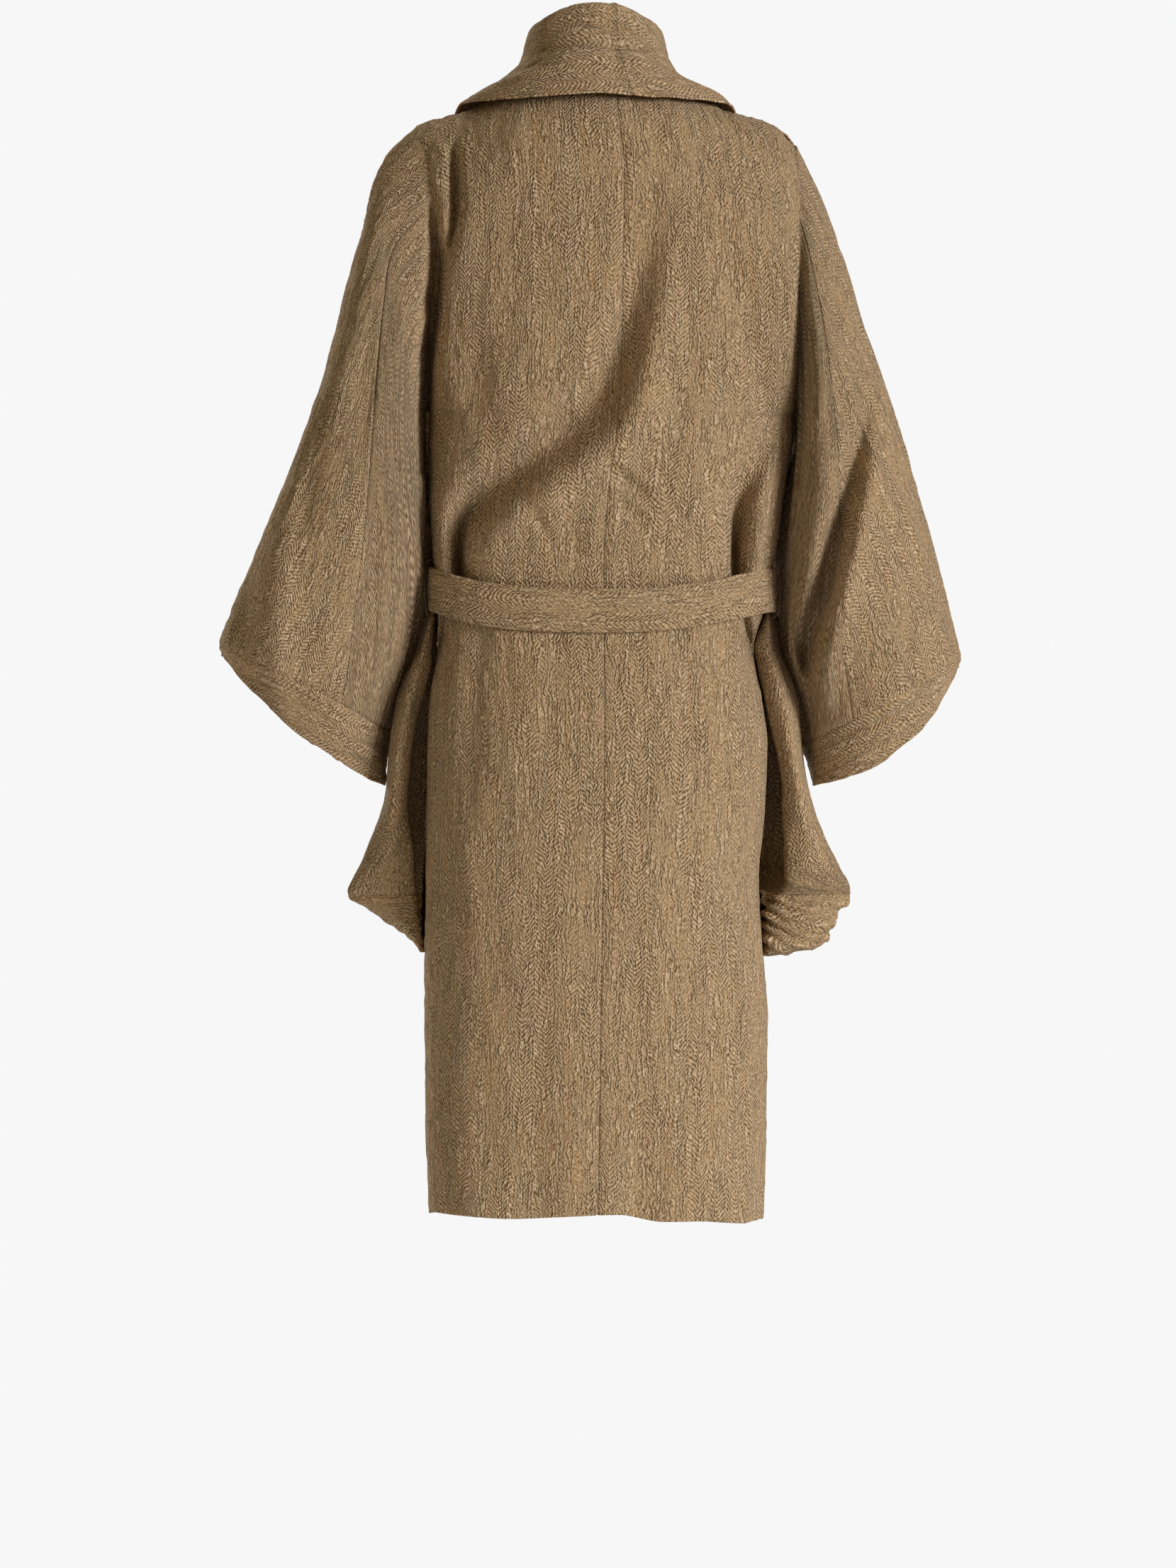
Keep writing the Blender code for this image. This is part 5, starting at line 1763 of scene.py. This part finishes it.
@dataclass
class Tie:
    """The flat knot in front and the belt's two hanging ends."""

    belt: Belt
    fronts: Fronts
    size: tuple = (0.060, 0.022, 0.056)
    end_thickness: float = 0.0045
    lift: float = 0.002
    gap: float = 0.001
    swing: float = 0.004
    rows: int = 90
    columns: int = 14
    ends: tuple = ((Side.LEFT, -0.026, -0.060, 0.400), (Side.RIGHT, 0.026, 0.052, 0.360))
    end_pinch: float = 0.62
    end_pinch_over: float = 0.16
    end_ripple: float = 0.0016
    end_ripple_across: float = 2.4
    end_ripple_down: float = 5.0
    end_crinkle: float = 0.4
    pattern: float = 9.0
    knot_columns: int = 96
    knot_rows: int = 40
    knot_gap: float = 0.0003
    knot_inset: float = 0.001
    crease_slant: tuple = (0.55, 0.8)
    crease_depth: float = 0.0022
    crease_width: float = 0.12
    knot_wave: float = 0.0009
    knot_turns: tuple = (5.0, 3.0)
    pinch: tuple = (0.52, 2.4)
    narrowing: tuple = (0.12, 3)
    squareness: tuple = (0.60, 0.70)

    def face(self) -> Array:
        """Outer face of the belt at the middle of the front."""
        points, outward = self.belt.outline(np.array([math.pi]))
        room = self.belt.room(points)[0] + self.belt.thickness
        return points[0] + outward[0] * room

    def build_knot(self) -> Piece:
        """A band wound once over the belt, drawn flat at both ends, with a slanting crease."""
        centre = self.face() + np.array((0.0, self.size[1] / 2.0 + self.knot_gap, 0.0))
        half = np.array(self.size) / 2.0
        turn = np.linspace(0.0, FULL_TURN, self.knot_columns, endpoint=False)
        angle, share = np.meshgrid(turn, np.linspace(-1.0, 1.0, self.knot_rows))
        ahead = np.maximum(np.sin(angle), 0.0)

        def squared(value: Array, power: float) -> Array:
            """A wave made squarer."""
            return np.sign(value) * np.abs(value) ** power

        slant = np.cos(angle) * self.crease_slant[0] + share * self.crease_slant[1]
        crease = self.crease_depth * np.exp(-(slant / self.crease_width) ** 2) * ahead
        wave = self.knot_wave * np.sin(angle * self.knot_turns[0] + share * self.knot_turns[1]) * ahead
        pinch = 1.0 - self.pinch[0] * np.abs(share) ** self.pinch[1]
        narrow = 1.0 - self.narrowing[0] * np.abs(share) ** self.narrowing[1]
        across = squared(np.cos(angle), self.squareness[0]) * half[0] * narrow
        out = squared(np.sin(angle), self.squareness[1]) * (half[1] - self.knot_inset) * pinch
        points = centre + np.stack([across, out + wave - crease, share * half[2]], axis=-1)
        grid = Grid(points, out=1, closed=True)
        return Piece.of_grid("tie_knot", grid, Held.FOLDED, ("belt",), thickness=self.end_thickness)

    def build_end(self, side: Side, top_across: float, low_across: float, length: float) -> Piece:
        """One hanging end, a flat strip that follows the front below the knot.

        Args:
            side: Left or right.
            top_across: Place across of its top.
            low_across: Place across of its lower end.
            length: How long it hangs.

        Returns:
            The piece.
        """
        face = self.face()
        top = face[2] - self.size[2] / 2.0 - self.gap
        clear = face[1] - self.belt.thickness
        half = self.belt.width / 2.0
        rows = []
        for share in stations(length, length / self.rows):
            height = top - length * share
            middle = top_across + (low_across - top_across) * share
            pinch = self.end_pinch + (1.0 - self.end_pinch) * float(ease(share / self.end_pinch_over))
            line = []
            for across in np.linspace(middle - half * pinch, middle + half * pinch, self.columns):
                point = self.fronts.point(Side.LEFT, across, height)
                depth = max(point[1], clear - self.swing * share)
                turn = (across - middle) / half * self.end_ripple_across + self.end_ripple_down * share
                ripple = self.end_ripple * math.sin(turn) * (1.0 - share)
                line.append((across, depth + CLOTH + self.lift + self.end_thickness + ripple, height))
            rows.append(line)
        grid = Grid(np.array(rows), out=-1, shift=self.pattern * side)
        grid.crinkle(self.end_crinkle, ())
        name = f"tie_end_{side.word}"
        return Piece.of_grid(name, grid, Held.HUNG, ("tie_knot",), thickness=self.end_thickness)

    def build(self) -> list:
        """The knot and both ends."""
        return [self.build_knot()] + [self.build_end(*end) for end in self.ends]


@dataclass
class BeltLoop:
    """A twisted thread loop outside the belt at a side seam."""

    belt: Belt
    side: Side
    thread: float = 0.0009
    half_height: float = 0.033
    stand: float = 0.0042
    fullness: float = 0.3
    seam_gap: float = 0.0003
    steps: int = 80
    round_steps: int = 10
    twists: float = 26.0
    strand: float = 0.90
    groove: float = 0.16
    map_length: float = 0.1

    def path(self) -> Array:
        """Middle line of the loop."""
        points, _ = self.belt.outline(np.array([self.side * QUARTER_TURN]))
        stand = abs(points[0, 0]) + self.belt.room(points)[0] + self.belt.thickness + self.stand
        angles = np.linspace(-QUARTER_TURN, QUARTER_TURN, self.steps)
        height = points[0, 2] + self.half_height * np.sin(angles)
        cloth = self.belt.form.half_width(self.side, height) + self.thread + self.seam_gap
        bow = np.maximum(np.cos(angles), 0.0) ** self.fullness
        out = cloth + np.maximum(stand - cloth, 0.0) * bow
        return np.stack([self.side * out, np.zeros(self.steps), height], axis=-1)

    def build(self) -> bpy.types.Object:
        """The loop as a tube with two twisted strands' grooves."""
        path = self.path()
        along = np.gradient(path, axis=0)
        along /= np.linalg.norm(along, axis=1, keepdims=True)
        side = np.array((0.0, 1.0, 0.0))
        other = np.cross(along, side)
        turn = np.linspace(0.0, FULL_TURN, self.round_steps, endpoint=False)
        share = np.linspace(0.0, 1.0, self.steps)[:, None]
        strands = np.cos(2.0 * (turn[None] - share * self.twists * math.pi))
        radius = self.thread * (self.strand + self.groove * strands)
        ring = np.cos(turn)[None, :, None] * side + np.sin(turn)[None, :, None] * other[:, None]
        points = path[:, None] + ring * radius[..., None]
        faces = [MeshMaker.quads(self.steps, self.round_steps, True)]
        for row, flip in ((0, True), (self.steps - 1, False)):
            loop = np.arange(self.round_steps) + row * self.round_steps
            halves = range(len(loop) // 2 - 1)
            cap = np.array([[loop[k], loop[k + 1], loop[-k - 2], loop[-k - 1]] for k in halves])
            faces.append(cap[:, ::-1] if flip else cap)
        corners = np.concatenate(faces)[:, ::-1]
        maps = np.broadcast_arrays(turn[None] * self.thread, share * self.map_length)
        grain = np.stack(maps, axis=-1).reshape(-1, 2)
        name = f"thread_loop_{self.side.word}"
        made = MeshMaker.place(name, points.reshape(-1, 3), corners, {"grain": grain})
        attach(made, BODY)
        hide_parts(f"belt_loop_{self.side.word}")
        LOG.info("%s: twisted thread %.1f mm thick", name, 2000.0 * self.thread)
        return made


Term = Union["Value", float]


class Value:
    """A shader value that takes part in Python expressions."""

    def __init__(self, sheet: "ShaderSheet", socket: bpy.types.NodeSocket) -> None:
        """Wrap one output socket.

        Args:
            sheet: The node sheet that the socket is on.
            socket: The output socket.
        """
        self.sheet = sheet
        self.socket = socket

    def math(self, operation: str, *others: Term) -> "Value":
        """A Math node on this value and others."""
        return self.sheet.node("ShaderNodeMath", {"operation": operation}, dict(enumerate((self,) + others)))

    def __add__(self, other: Term) -> "Value":
        """Sum."""
        return self.math("ADD", other)

    def __sub__(self, other: Term) -> "Value":
        """Difference."""
        return self.math("SUBTRACT", other)

    def __rsub__(self, other: float) -> "Value":
        """Difference from a number."""
        return self.sheet.node("ShaderNodeMath", {"operation": "SUBTRACT"}, {0: other, 1: self})

    def __mul__(self, other: Term) -> "Value":
        """Product."""
        return self.math("MULTIPLY", other)

    __radd__ = __add__
    __rmul__ = __mul__

    def __truediv__(self, other: Term) -> "Value":
        """Quotient."""
        return self.math("DIVIDE", other)

    def __pow__(self, power: float) -> "Value":
        """Power."""
        return self.math("POWER", power)

    def __abs__(self) -> "Value":
        """Size without sign."""
        return self.math("ABSOLUTE")

    def at_least(self, low: float) -> "Value":
        """The value squeezed towards 1, so that 0 becomes a lower limit."""
        return self * (1.0 - low) + low

    def between(self, low: float, high: float) -> "Value":
        """Smooth step from 0 at one value to 1 at another."""
        return self.sheet.node("ShaderNodeMapRange", {"interpolation_type": "SMOOTHSTEP"},
                               {"Value": self, "From Min": low, "From Max": high})


class ShaderSheet:
    """The nodes of one material."""

    def __init__(self, name: str) -> None:
        """Start a material with only its shader and output.

        Args:
            name: Name of the material.
        """
        self.material = bpy.data.materials.new(name)
        self.material.use_nodes = True
        self.tree = self.material.node_tree
        self.shader = self.tree.nodes["Principled BSDF"]

    def node(self, kind: str, settings: dict, inputs: dict, output: Union[int, str] = 0) -> Value:
        """Add a node.

        Args:
            kind: Type of the node.
            settings: Properties to set first.
            inputs: Values or links of its sockets, by name or number.
            output: The output to use.

        Returns:
            That output as a value.
        """
        made = self.tree.nodes.new(kind)
        for key, value in settings.items():
            setattr(made, key, value)
        for key, value in inputs.items():
            if isinstance(value, Value):
                self.tree.links.new(value.socket, made.inputs[key])
            else:
                made.inputs[key].default_value = value
        return Value(self, made.outputs[output])

    def feed(self, socket: str, value: Value) -> None:
        """Link a value to the shader."""
        self.tree.links.new(value.socket, self.shader.inputs[socket])

    def map_parts(self, name: str) -> tuple:
        """Both coordinates of one of the piece's own maps."""
        uv = self.node("ShaderNodeUVMap", {"uv_map": name}, {})
        return (self.node("ShaderNodeSeparateXYZ", {}, {0: uv}, 0),
                self.node("ShaderNodeSeparateXYZ", {}, {0: uv}, 1))

    def speckle(self, u: Value, v: Value, cells: "Speckle") -> Value:
        """Smooth noise on a map: 0 to 1, or a step between two of its values."""
        across = u * cells.across + cells.shift
        place = self.node("ShaderNodeCombineXYZ", {}, {0: across, 1: v * cells.along})
        noise = self.node("ShaderNodeTexNoise", {"noise_dimensions": "2D"},
                          {"Vector": place, "Scale": 1.0, "Detail": cells.detail})
        return noise.between(cells.low, cells.high) if cells.high else noise

    def mix(self, share: Value, first: Union[Value, tuple], second: Union[Value, tuple]) -> Value:
        """Mix of two colours."""
        return self.node("ShaderNodeMix", {"data_type": "RGBA"}, {0: share, 6: first, 7: second}, 2)

    def set(self, **sockets: Union[float, tuple]) -> None:
        """Set plain values straight on the shader's sockets."""
        for name, value in sockets.items():
            self.shader.inputs[name.replace("_", " ")].default_value = value


class Speckle(NamedTuple):
    """Cells of a noise in a metre, across and along the grain, its shift, and the part of it that counts."""

    across: float
    along: float
    shift: float = 0.0
    low: float = 0.0
    high: float = 0.0
    detail: float = 1.0


class Relief(NamedTuple):
    """Shares of the weave, yarns, fuzz, wrinkles and wales in the cloth's colour or height; the wrinkles'
    share of the colour is painted highlight on their ridges and painted shade in their grooves.
    """

    weave: float
    yarn: float
    fuzz: float
    wrinkle: float
    wale: float

    def total(self, *parts: Value) -> Value:
        """Sum of the parts by their shares."""
        first, *others = (part * share for part, share in zip(parts, self))
        return sum(others, first)


@dataclass(frozen=True)
class Wool:
    """Crinkled herringbone wool: twill lines in wavy columns, with cable-like ridges along the grain,
    painted lighter on their crests and darker in their grooves as painted highlight and shade.
    """

    light: tuple = (0.640, 0.480, 0.308, 1.0)
    middle: tuple = (0.356, 0.236, 0.119, 1.0)
    dark: tuple = (0.138, 0.078, 0.030, 1.0)
    amber: tuple = (0.400, 0.225, 0.085, 1.0)
    olive: tuple = (0.275, 0.212, 0.122, 1.0)
    stitch: tuple = (0.060, 0.034, 0.015, 1.0)
    column: float = 0.0125
    pitch: float = 0.0035
    slope: float = math.radians(42.0)
    rib: float = 0.0052
    broad: Speckle = Speckle(24.0, 9.0)
    small: Speckle = Speckle(75.0, 30.0, 5.0)
    curl: Speckle = Speckle(170.0, 75.0, 9.0)
    yarn: Speckle = Speckle(640.0, 230.0)
    fuzz: Speckle = Speckle(760.0, 480.0, 3.0)
    broken: Speckle = Speckle(70.0, 26.0, 2.0, 0.38, 0.62)
    patch: Speckle = Speckle(20.0, 8.0, 4.0, 0.34, 0.62)
    streak: Speckle = Speckle(130.0, 7.0, 8.0, 0.56, 0.74)
    cast: Speckle = Speckle(40.0, 6.0, 2.0, 0.50, 0.70)
    column_sway: tuple = (0.010, 0.0064)
    twill_sway: tuple = (0.0050, 0.004)
    curl_sway: float = 0.0100
    wale_power: float = 7.0
    broken_least: float = 0.30
    patch_least: float = 0.35
    streak_share: float = 0.36
    cast_share: float = 0.30
    # The wrinkle share of these tones is painted highlight on the crinkle's ridges and painted shade in its
    # grooves; the other shares are the yarns' own tones.
    tones: Relief = Relief(1.00, 1.80, 1.50, 0.42, 0.35)
    heights: Relief = Relief(0.00085, 0.00110, 0.00050, 0.00085, 0.00040)
    wale_mean: float = 0.08
    contrast: float = 1.15
    dark_tone: float = 0.95
    dark_share: float = 0.92
    light_tone: float = 1.05
    light_share: float = 0.90
    stitch_length: float = 0.0055
    stitch_least: float = 0.65
    stitch_patch: Speckle = Speckle(60.0, 20.0, 0.0, 0.30, 0.62)
    stitch_faintest: float = 0.4
    stitch_reach: tuple = (0.0003, 0.0015)
    stitch_share: float = 0.52
    stitch_depth: float = 0.0004
    roughness: float = 0.92
    roughness_change: float = 0.10
    gloss: float = 0.15
    sheen: float = 0.09
    sheen_roughness: float = 0.55
    sheen_tint: tuple = (0.84, 0.78, 0.70, 1.0)

    def twill(self, u: Value, v: Value, zigzag: Value) -> Value:
        """Slanting lines of the weave, which turn back at each column.

        Args:
            u: Bent place across the grain.
            v: Bent place along the grain.
            zigzag: 0 to 1 and back across two columns.

        Returns:
            Height of the lines, from -0.5 to 0.5.
        """
        step = self.pitch / math.sin(self.slope)
        phase = (v + zigzag * (self.column / math.tan(self.slope))) / step
        phase = phase + (u / self.column * 0.5).math("FLOOR") * 0.5
        return (phase * FULL_TURN).math("SINE") * 0.5

    def stitches(self, sheet: ShaderSheet, u: Value) -> Value:
        """Uneven stitching along the seams."""
        seam, run = sheet.map_parts("seam")
        prick = (run * (FULL_TURN / self.stitch_length)).math("SINE").at_least(self.stitch_least)
        uneven = sheet.speckle(run, u, self.stitch_patch)
        return (1.0 - seam.between(*self.stitch_reach)) * prick * uneven.at_least(self.stitch_faintest)

    def make(self) -> bpy.types.Material:
        """The wool's material."""
        sheet = ShaderSheet("crinkled_wool")
        u, v = sheet.map_parts("grain")
        sways = (self.broad, self.small, self.curl)
        broad, small, curl = (sheet.speckle(u, v, kind) - 0.5 for kind in sways)
        bent_u = u + broad * self.column_sway[0] + small * self.column_sway[1]
        bent_v = v + curl * self.twill_sway[0] + broad * self.twill_sway[1]
        zigzag = (bent_u / self.column).math("PINGPONG", 1.0)
        patch = sheet.speckle(u, v, self.patch)
        weave = self.twill(bent_u, bent_v, zigzag) * patch.at_least(self.patch_least)
        yarn = sheet.speckle(bent_u, bent_v, self.yarn) - 0.5
        fuzz = sheet.speckle(u, v, self.fuzz) - 0.5
        broken = sheet.speckle(u, v, self.broken)
        wave = ((bent_u + curl * self.curl_sway) * (FULL_TURN / self.rib)).math("SINE")
        # Crinkle ridges along the grain: raised by the bump, and in the colour painted lighter on their
        # crests and darker in their grooves, as painted highlight and shade.
        wrinkle = wave * abs(wave) * broken.at_least(self.broken_least)
        wale = (abs(zigzag - 0.5) * 2.0) ** self.wale_power
        streak = sheet.speckle(bent_u, v, self.streak)
        cast = sheet.speckle(u, v, self.cast)
        stitched = self.stitches(sheet, u)
        tone_and_painted_light = self.tones.total(weave, yarn, fuzz, wrinkle, wale * broken - self.wale_mean) * self.contrast
        colour = sheet.mix(streak * self.streak_share, self.middle, self.amber)
        colour = sheet.mix(cast * self.cast_share, colour, self.olive)
        # Low tone takes the dark colour and high tone the light one: the yarns' own tones, plus painted
        # shade in the crinkle's grooves and painted highlight on its ridges.
        colour = sheet.mix((0.0 - tone_and_painted_light).between(0.0, self.dark_tone) * self.dark_share, colour, self.dark)
        colour = sheet.mix(tone_and_painted_light.between(0.0, self.light_tone) * self.light_share, colour, self.light)
        colour = sheet.mix(stitched * self.stitch_share, colour, self.stitch)
        height = self.heights.total(weave, yarn, fuzz, wrinkle, wale) - stitched * self.stitch_depth
        bump = sheet.node("ShaderNodeBump", {}, {"Strength": 1.0, "Distance": 1.0, "Height": height})
        sheet.feed("Base Color", colour)
        sheet.feed("Roughness", self.roughness + fuzz * self.roughness_change)
        sheet.feed("Normal", bump)
        sheet.set(Specular_IOR_Level=self.gloss, Sheen_Weight=self.sheen,
                  Sheen_Roughness=self.sheen_roughness, Sheen_Tint=self.sheen_tint)
        return sheet.material


@dataclass(frozen=True)
class TwistedThread:
    """Sewing thread of two strands."""

    colour: tuple = (0.215, 0.140, 0.075, 1.0)
    shade: tuple = (0.120, 0.076, 0.038, 1.0)
    fibre: Speckle = Speckle(2600.0, 500.0, detail=2.0)
    roughness: float = 0.55
    roughness_change: float = 0.3

    def make(self) -> bpy.types.Material:
        """The thread's material."""
        sheet = ShaderSheet("twisted_thread")
        fibre = sheet.speckle(*sheet.map_parts("grain"), self.fibre)
        sheet.feed("Base Color", sheet.mix(fibre, self.shade, self.colour))
        sheet.feed("Roughness", self.roughness + fibre * self.roughness_change)
        return sheet.material


@dataclass(frozen=True)
class PaleFloor:
    """A plain pale studio floor."""

    colour: tuple = (0.950, 0.962, 0.990, 1.0)
    shade: tuple = (0.930, 0.942, 0.970, 1.0)
    glow_tint: tuple = (0.88, 0.91, 1.0, 1.0)
    glow: float = 0.26
    cloud: float = 1.5
    cloud_share: float = 0.2

    def make(self) -> bpy.types.Material:
        """The floor's material."""
        sheet = ShaderSheet("pale_floor")
        place = sheet.node("ShaderNodeTexCoord", {}, {}, "Object")
        cloud = sheet.node("ShaderNodeTexNoise", {}, {"Vector": place, "Scale": self.cloud, "Detail": 2.0})
        sheet.feed("Base Color", sheet.mix(cloud * self.cloud_share, self.colour, self.shade))
        sheet.set(Roughness=1.0, Specular_IOR_Level=0.0, Emission_Color=self.glow_tint,
                  Emission_Strength=self.glow)
        return sheet.material


class Lamp(NamedTuple):
    """A broad soft light: the way to it from the coat, brightness, width in degrees and tint."""

    name: str
    towards: tuple
    strength: float
    softness: float
    colour: tuple


@dataclass
class Studio:
    """Floor, soft light and the camera behind the coat."""

    frame_height: float = 1.770
    distance: float = 18.0
    camera_x: float = -0.0084
    camera_z: float = -0.753
    film: float = 36.0
    floor_height: float = -1.78
    floor_size: float = 5.0
    backdrop: tuple = (0.930, 0.930, 0.930, 1.0)
    fill: tuple = (0.268, 0.220, 0.146, 1.0)
    lamps: tuple = (
        Lamp("key", (0.75, -0.63, 0.18), 2.90, 22.0, (0.965, 1.0, 1.10)),
        Lamp("front", (-0.35, 0.85, 0.30), 2.0, 40.0, (1.0, 0.99, 0.97)),
        Lamp("top", (0.0, -0.1, 1.0), 0.30, 60.0, (1.0, 1.0, 1.0)),
    )

    def place_camera(self) -> None:
        """A level camera that sees the coat straight from behind."""
        lens = bpy.data.cameras.new("camera")
        lens.sensor_width = self.film
        lens.lens = self.film * self.distance / self.frame_height
        lens.clip_end = 100.0
        camera = bpy.data.objects.new("camera", lens)
        camera.location = (self.camera_x, -self.distance, self.camera_z)
        camera.rotation_euler = (QUARTER_TURN, 0.0, 0.0)
        bpy.context.scene.collection.objects.link(camera)
        bpy.context.scene.camera = camera

    def place_floor(self) -> None:
        """The floor under the coat."""
        bpy.ops.object.select_all(action="DESELECT")
        bpy.ops.mesh.primitive_plane_add(size=self.floor_size, location=(0.0, 0.0, 0.0))
        floor = bpy.context.object
        floor.name = "floor"
        for vertex in floor.data.vertices:
            vertex.co.z = self.floor_height
        floor.data.materials.append(PaleFloor().make())

    @staticmethod
    def add_light(lamp: Lamp) -> None:
        """A lamp that shines from one direction."""
        light = bpy.data.lights.new(lamp.name, "SUN")
        light.energy = lamp.strength
        light.angle = math.radians(lamp.softness)
        light.color = lamp.colour
        made = bpy.data.objects.new(lamp.name, light)
        made.rotation_euler = (-Vector(lamp.towards)).to_track_quat("-Z", "Y").to_euler()
        bpy.context.scene.collection.objects.link(made)

    def light(self) -> None:
        """A pale surround, a broad key from the right of the view, weak lights in front and above."""
        world = bpy.data.worlds.new("surround")
        bpy.context.scene.world = world
        world.use_nodes = True
        tree = world.node_tree
        sky = tree.nodes["Background"]
        seen = tree.nodes.new("ShaderNodeLightPath")
        tint = tree.nodes.new("ShaderNodeMix")
        tint.data_type = "RGBA"
        tint.inputs[6].default_value = self.fill
        tint.inputs[7].default_value = self.backdrop
        tree.links.new(seen.outputs["Is Camera Ray"], tint.inputs[0])
        tree.links.new(tint.outputs[2], sky.inputs["Color"])
        for lamp in self.lamps:
            self.add_light(lamp)

    def build(self) -> None:
        """Everything round the coat."""
        bpy.context.scene.view_settings.view_transform = "Standard"
        self.place_camera()
        self.place_floor()
        self.light()


def main() -> None:
    """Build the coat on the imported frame, dress it and light it."""
    logging.basicConfig(level=logging.INFO, format="%(name)s: %(message)s")
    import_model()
    bpy.ops.object.select_all(action="DESELECT")
    form = BodyForm()
    back_folds = FoldField(BACK_FOLDS, Facing.BACK)
    sleeve_folds = FoldField(SLEEVE_FOLDS, Facing.BACK)
    front_folds = FoldField(FRONT_FOLDS, Facing.FRONT)
    fronts = Fronts(form, front_folds)
    backs = Backs(form, back_folds)
    collar = Collar(form, fronts, FoldField(COLLAR_FOLDS, Facing.BACK))
    belt = Belt(form)
    pieces = []
    for side in Side:
        pieces += [backs.build(side), fronts.build(side), collar.build(side)]
        pieces += Sleeve(form, side, (back_folds, sleeve_folds, front_folds)).build()
        pieces += DrapedPocket(form, side).build()
    pieces.append(belt.build())
    pieces += Tie(belt, fronts).build()
    wool = Wool().make()
    for piece in pieces:
        piece.made.data.materials.append(wool)
        piece.declare()
    thread = TwistedThread().make()
    for side in Side:
        BeltLoop(belt, side).build().data.materials.append(thread)
    Studio().build()


if __name__ == "__main__":
    main()
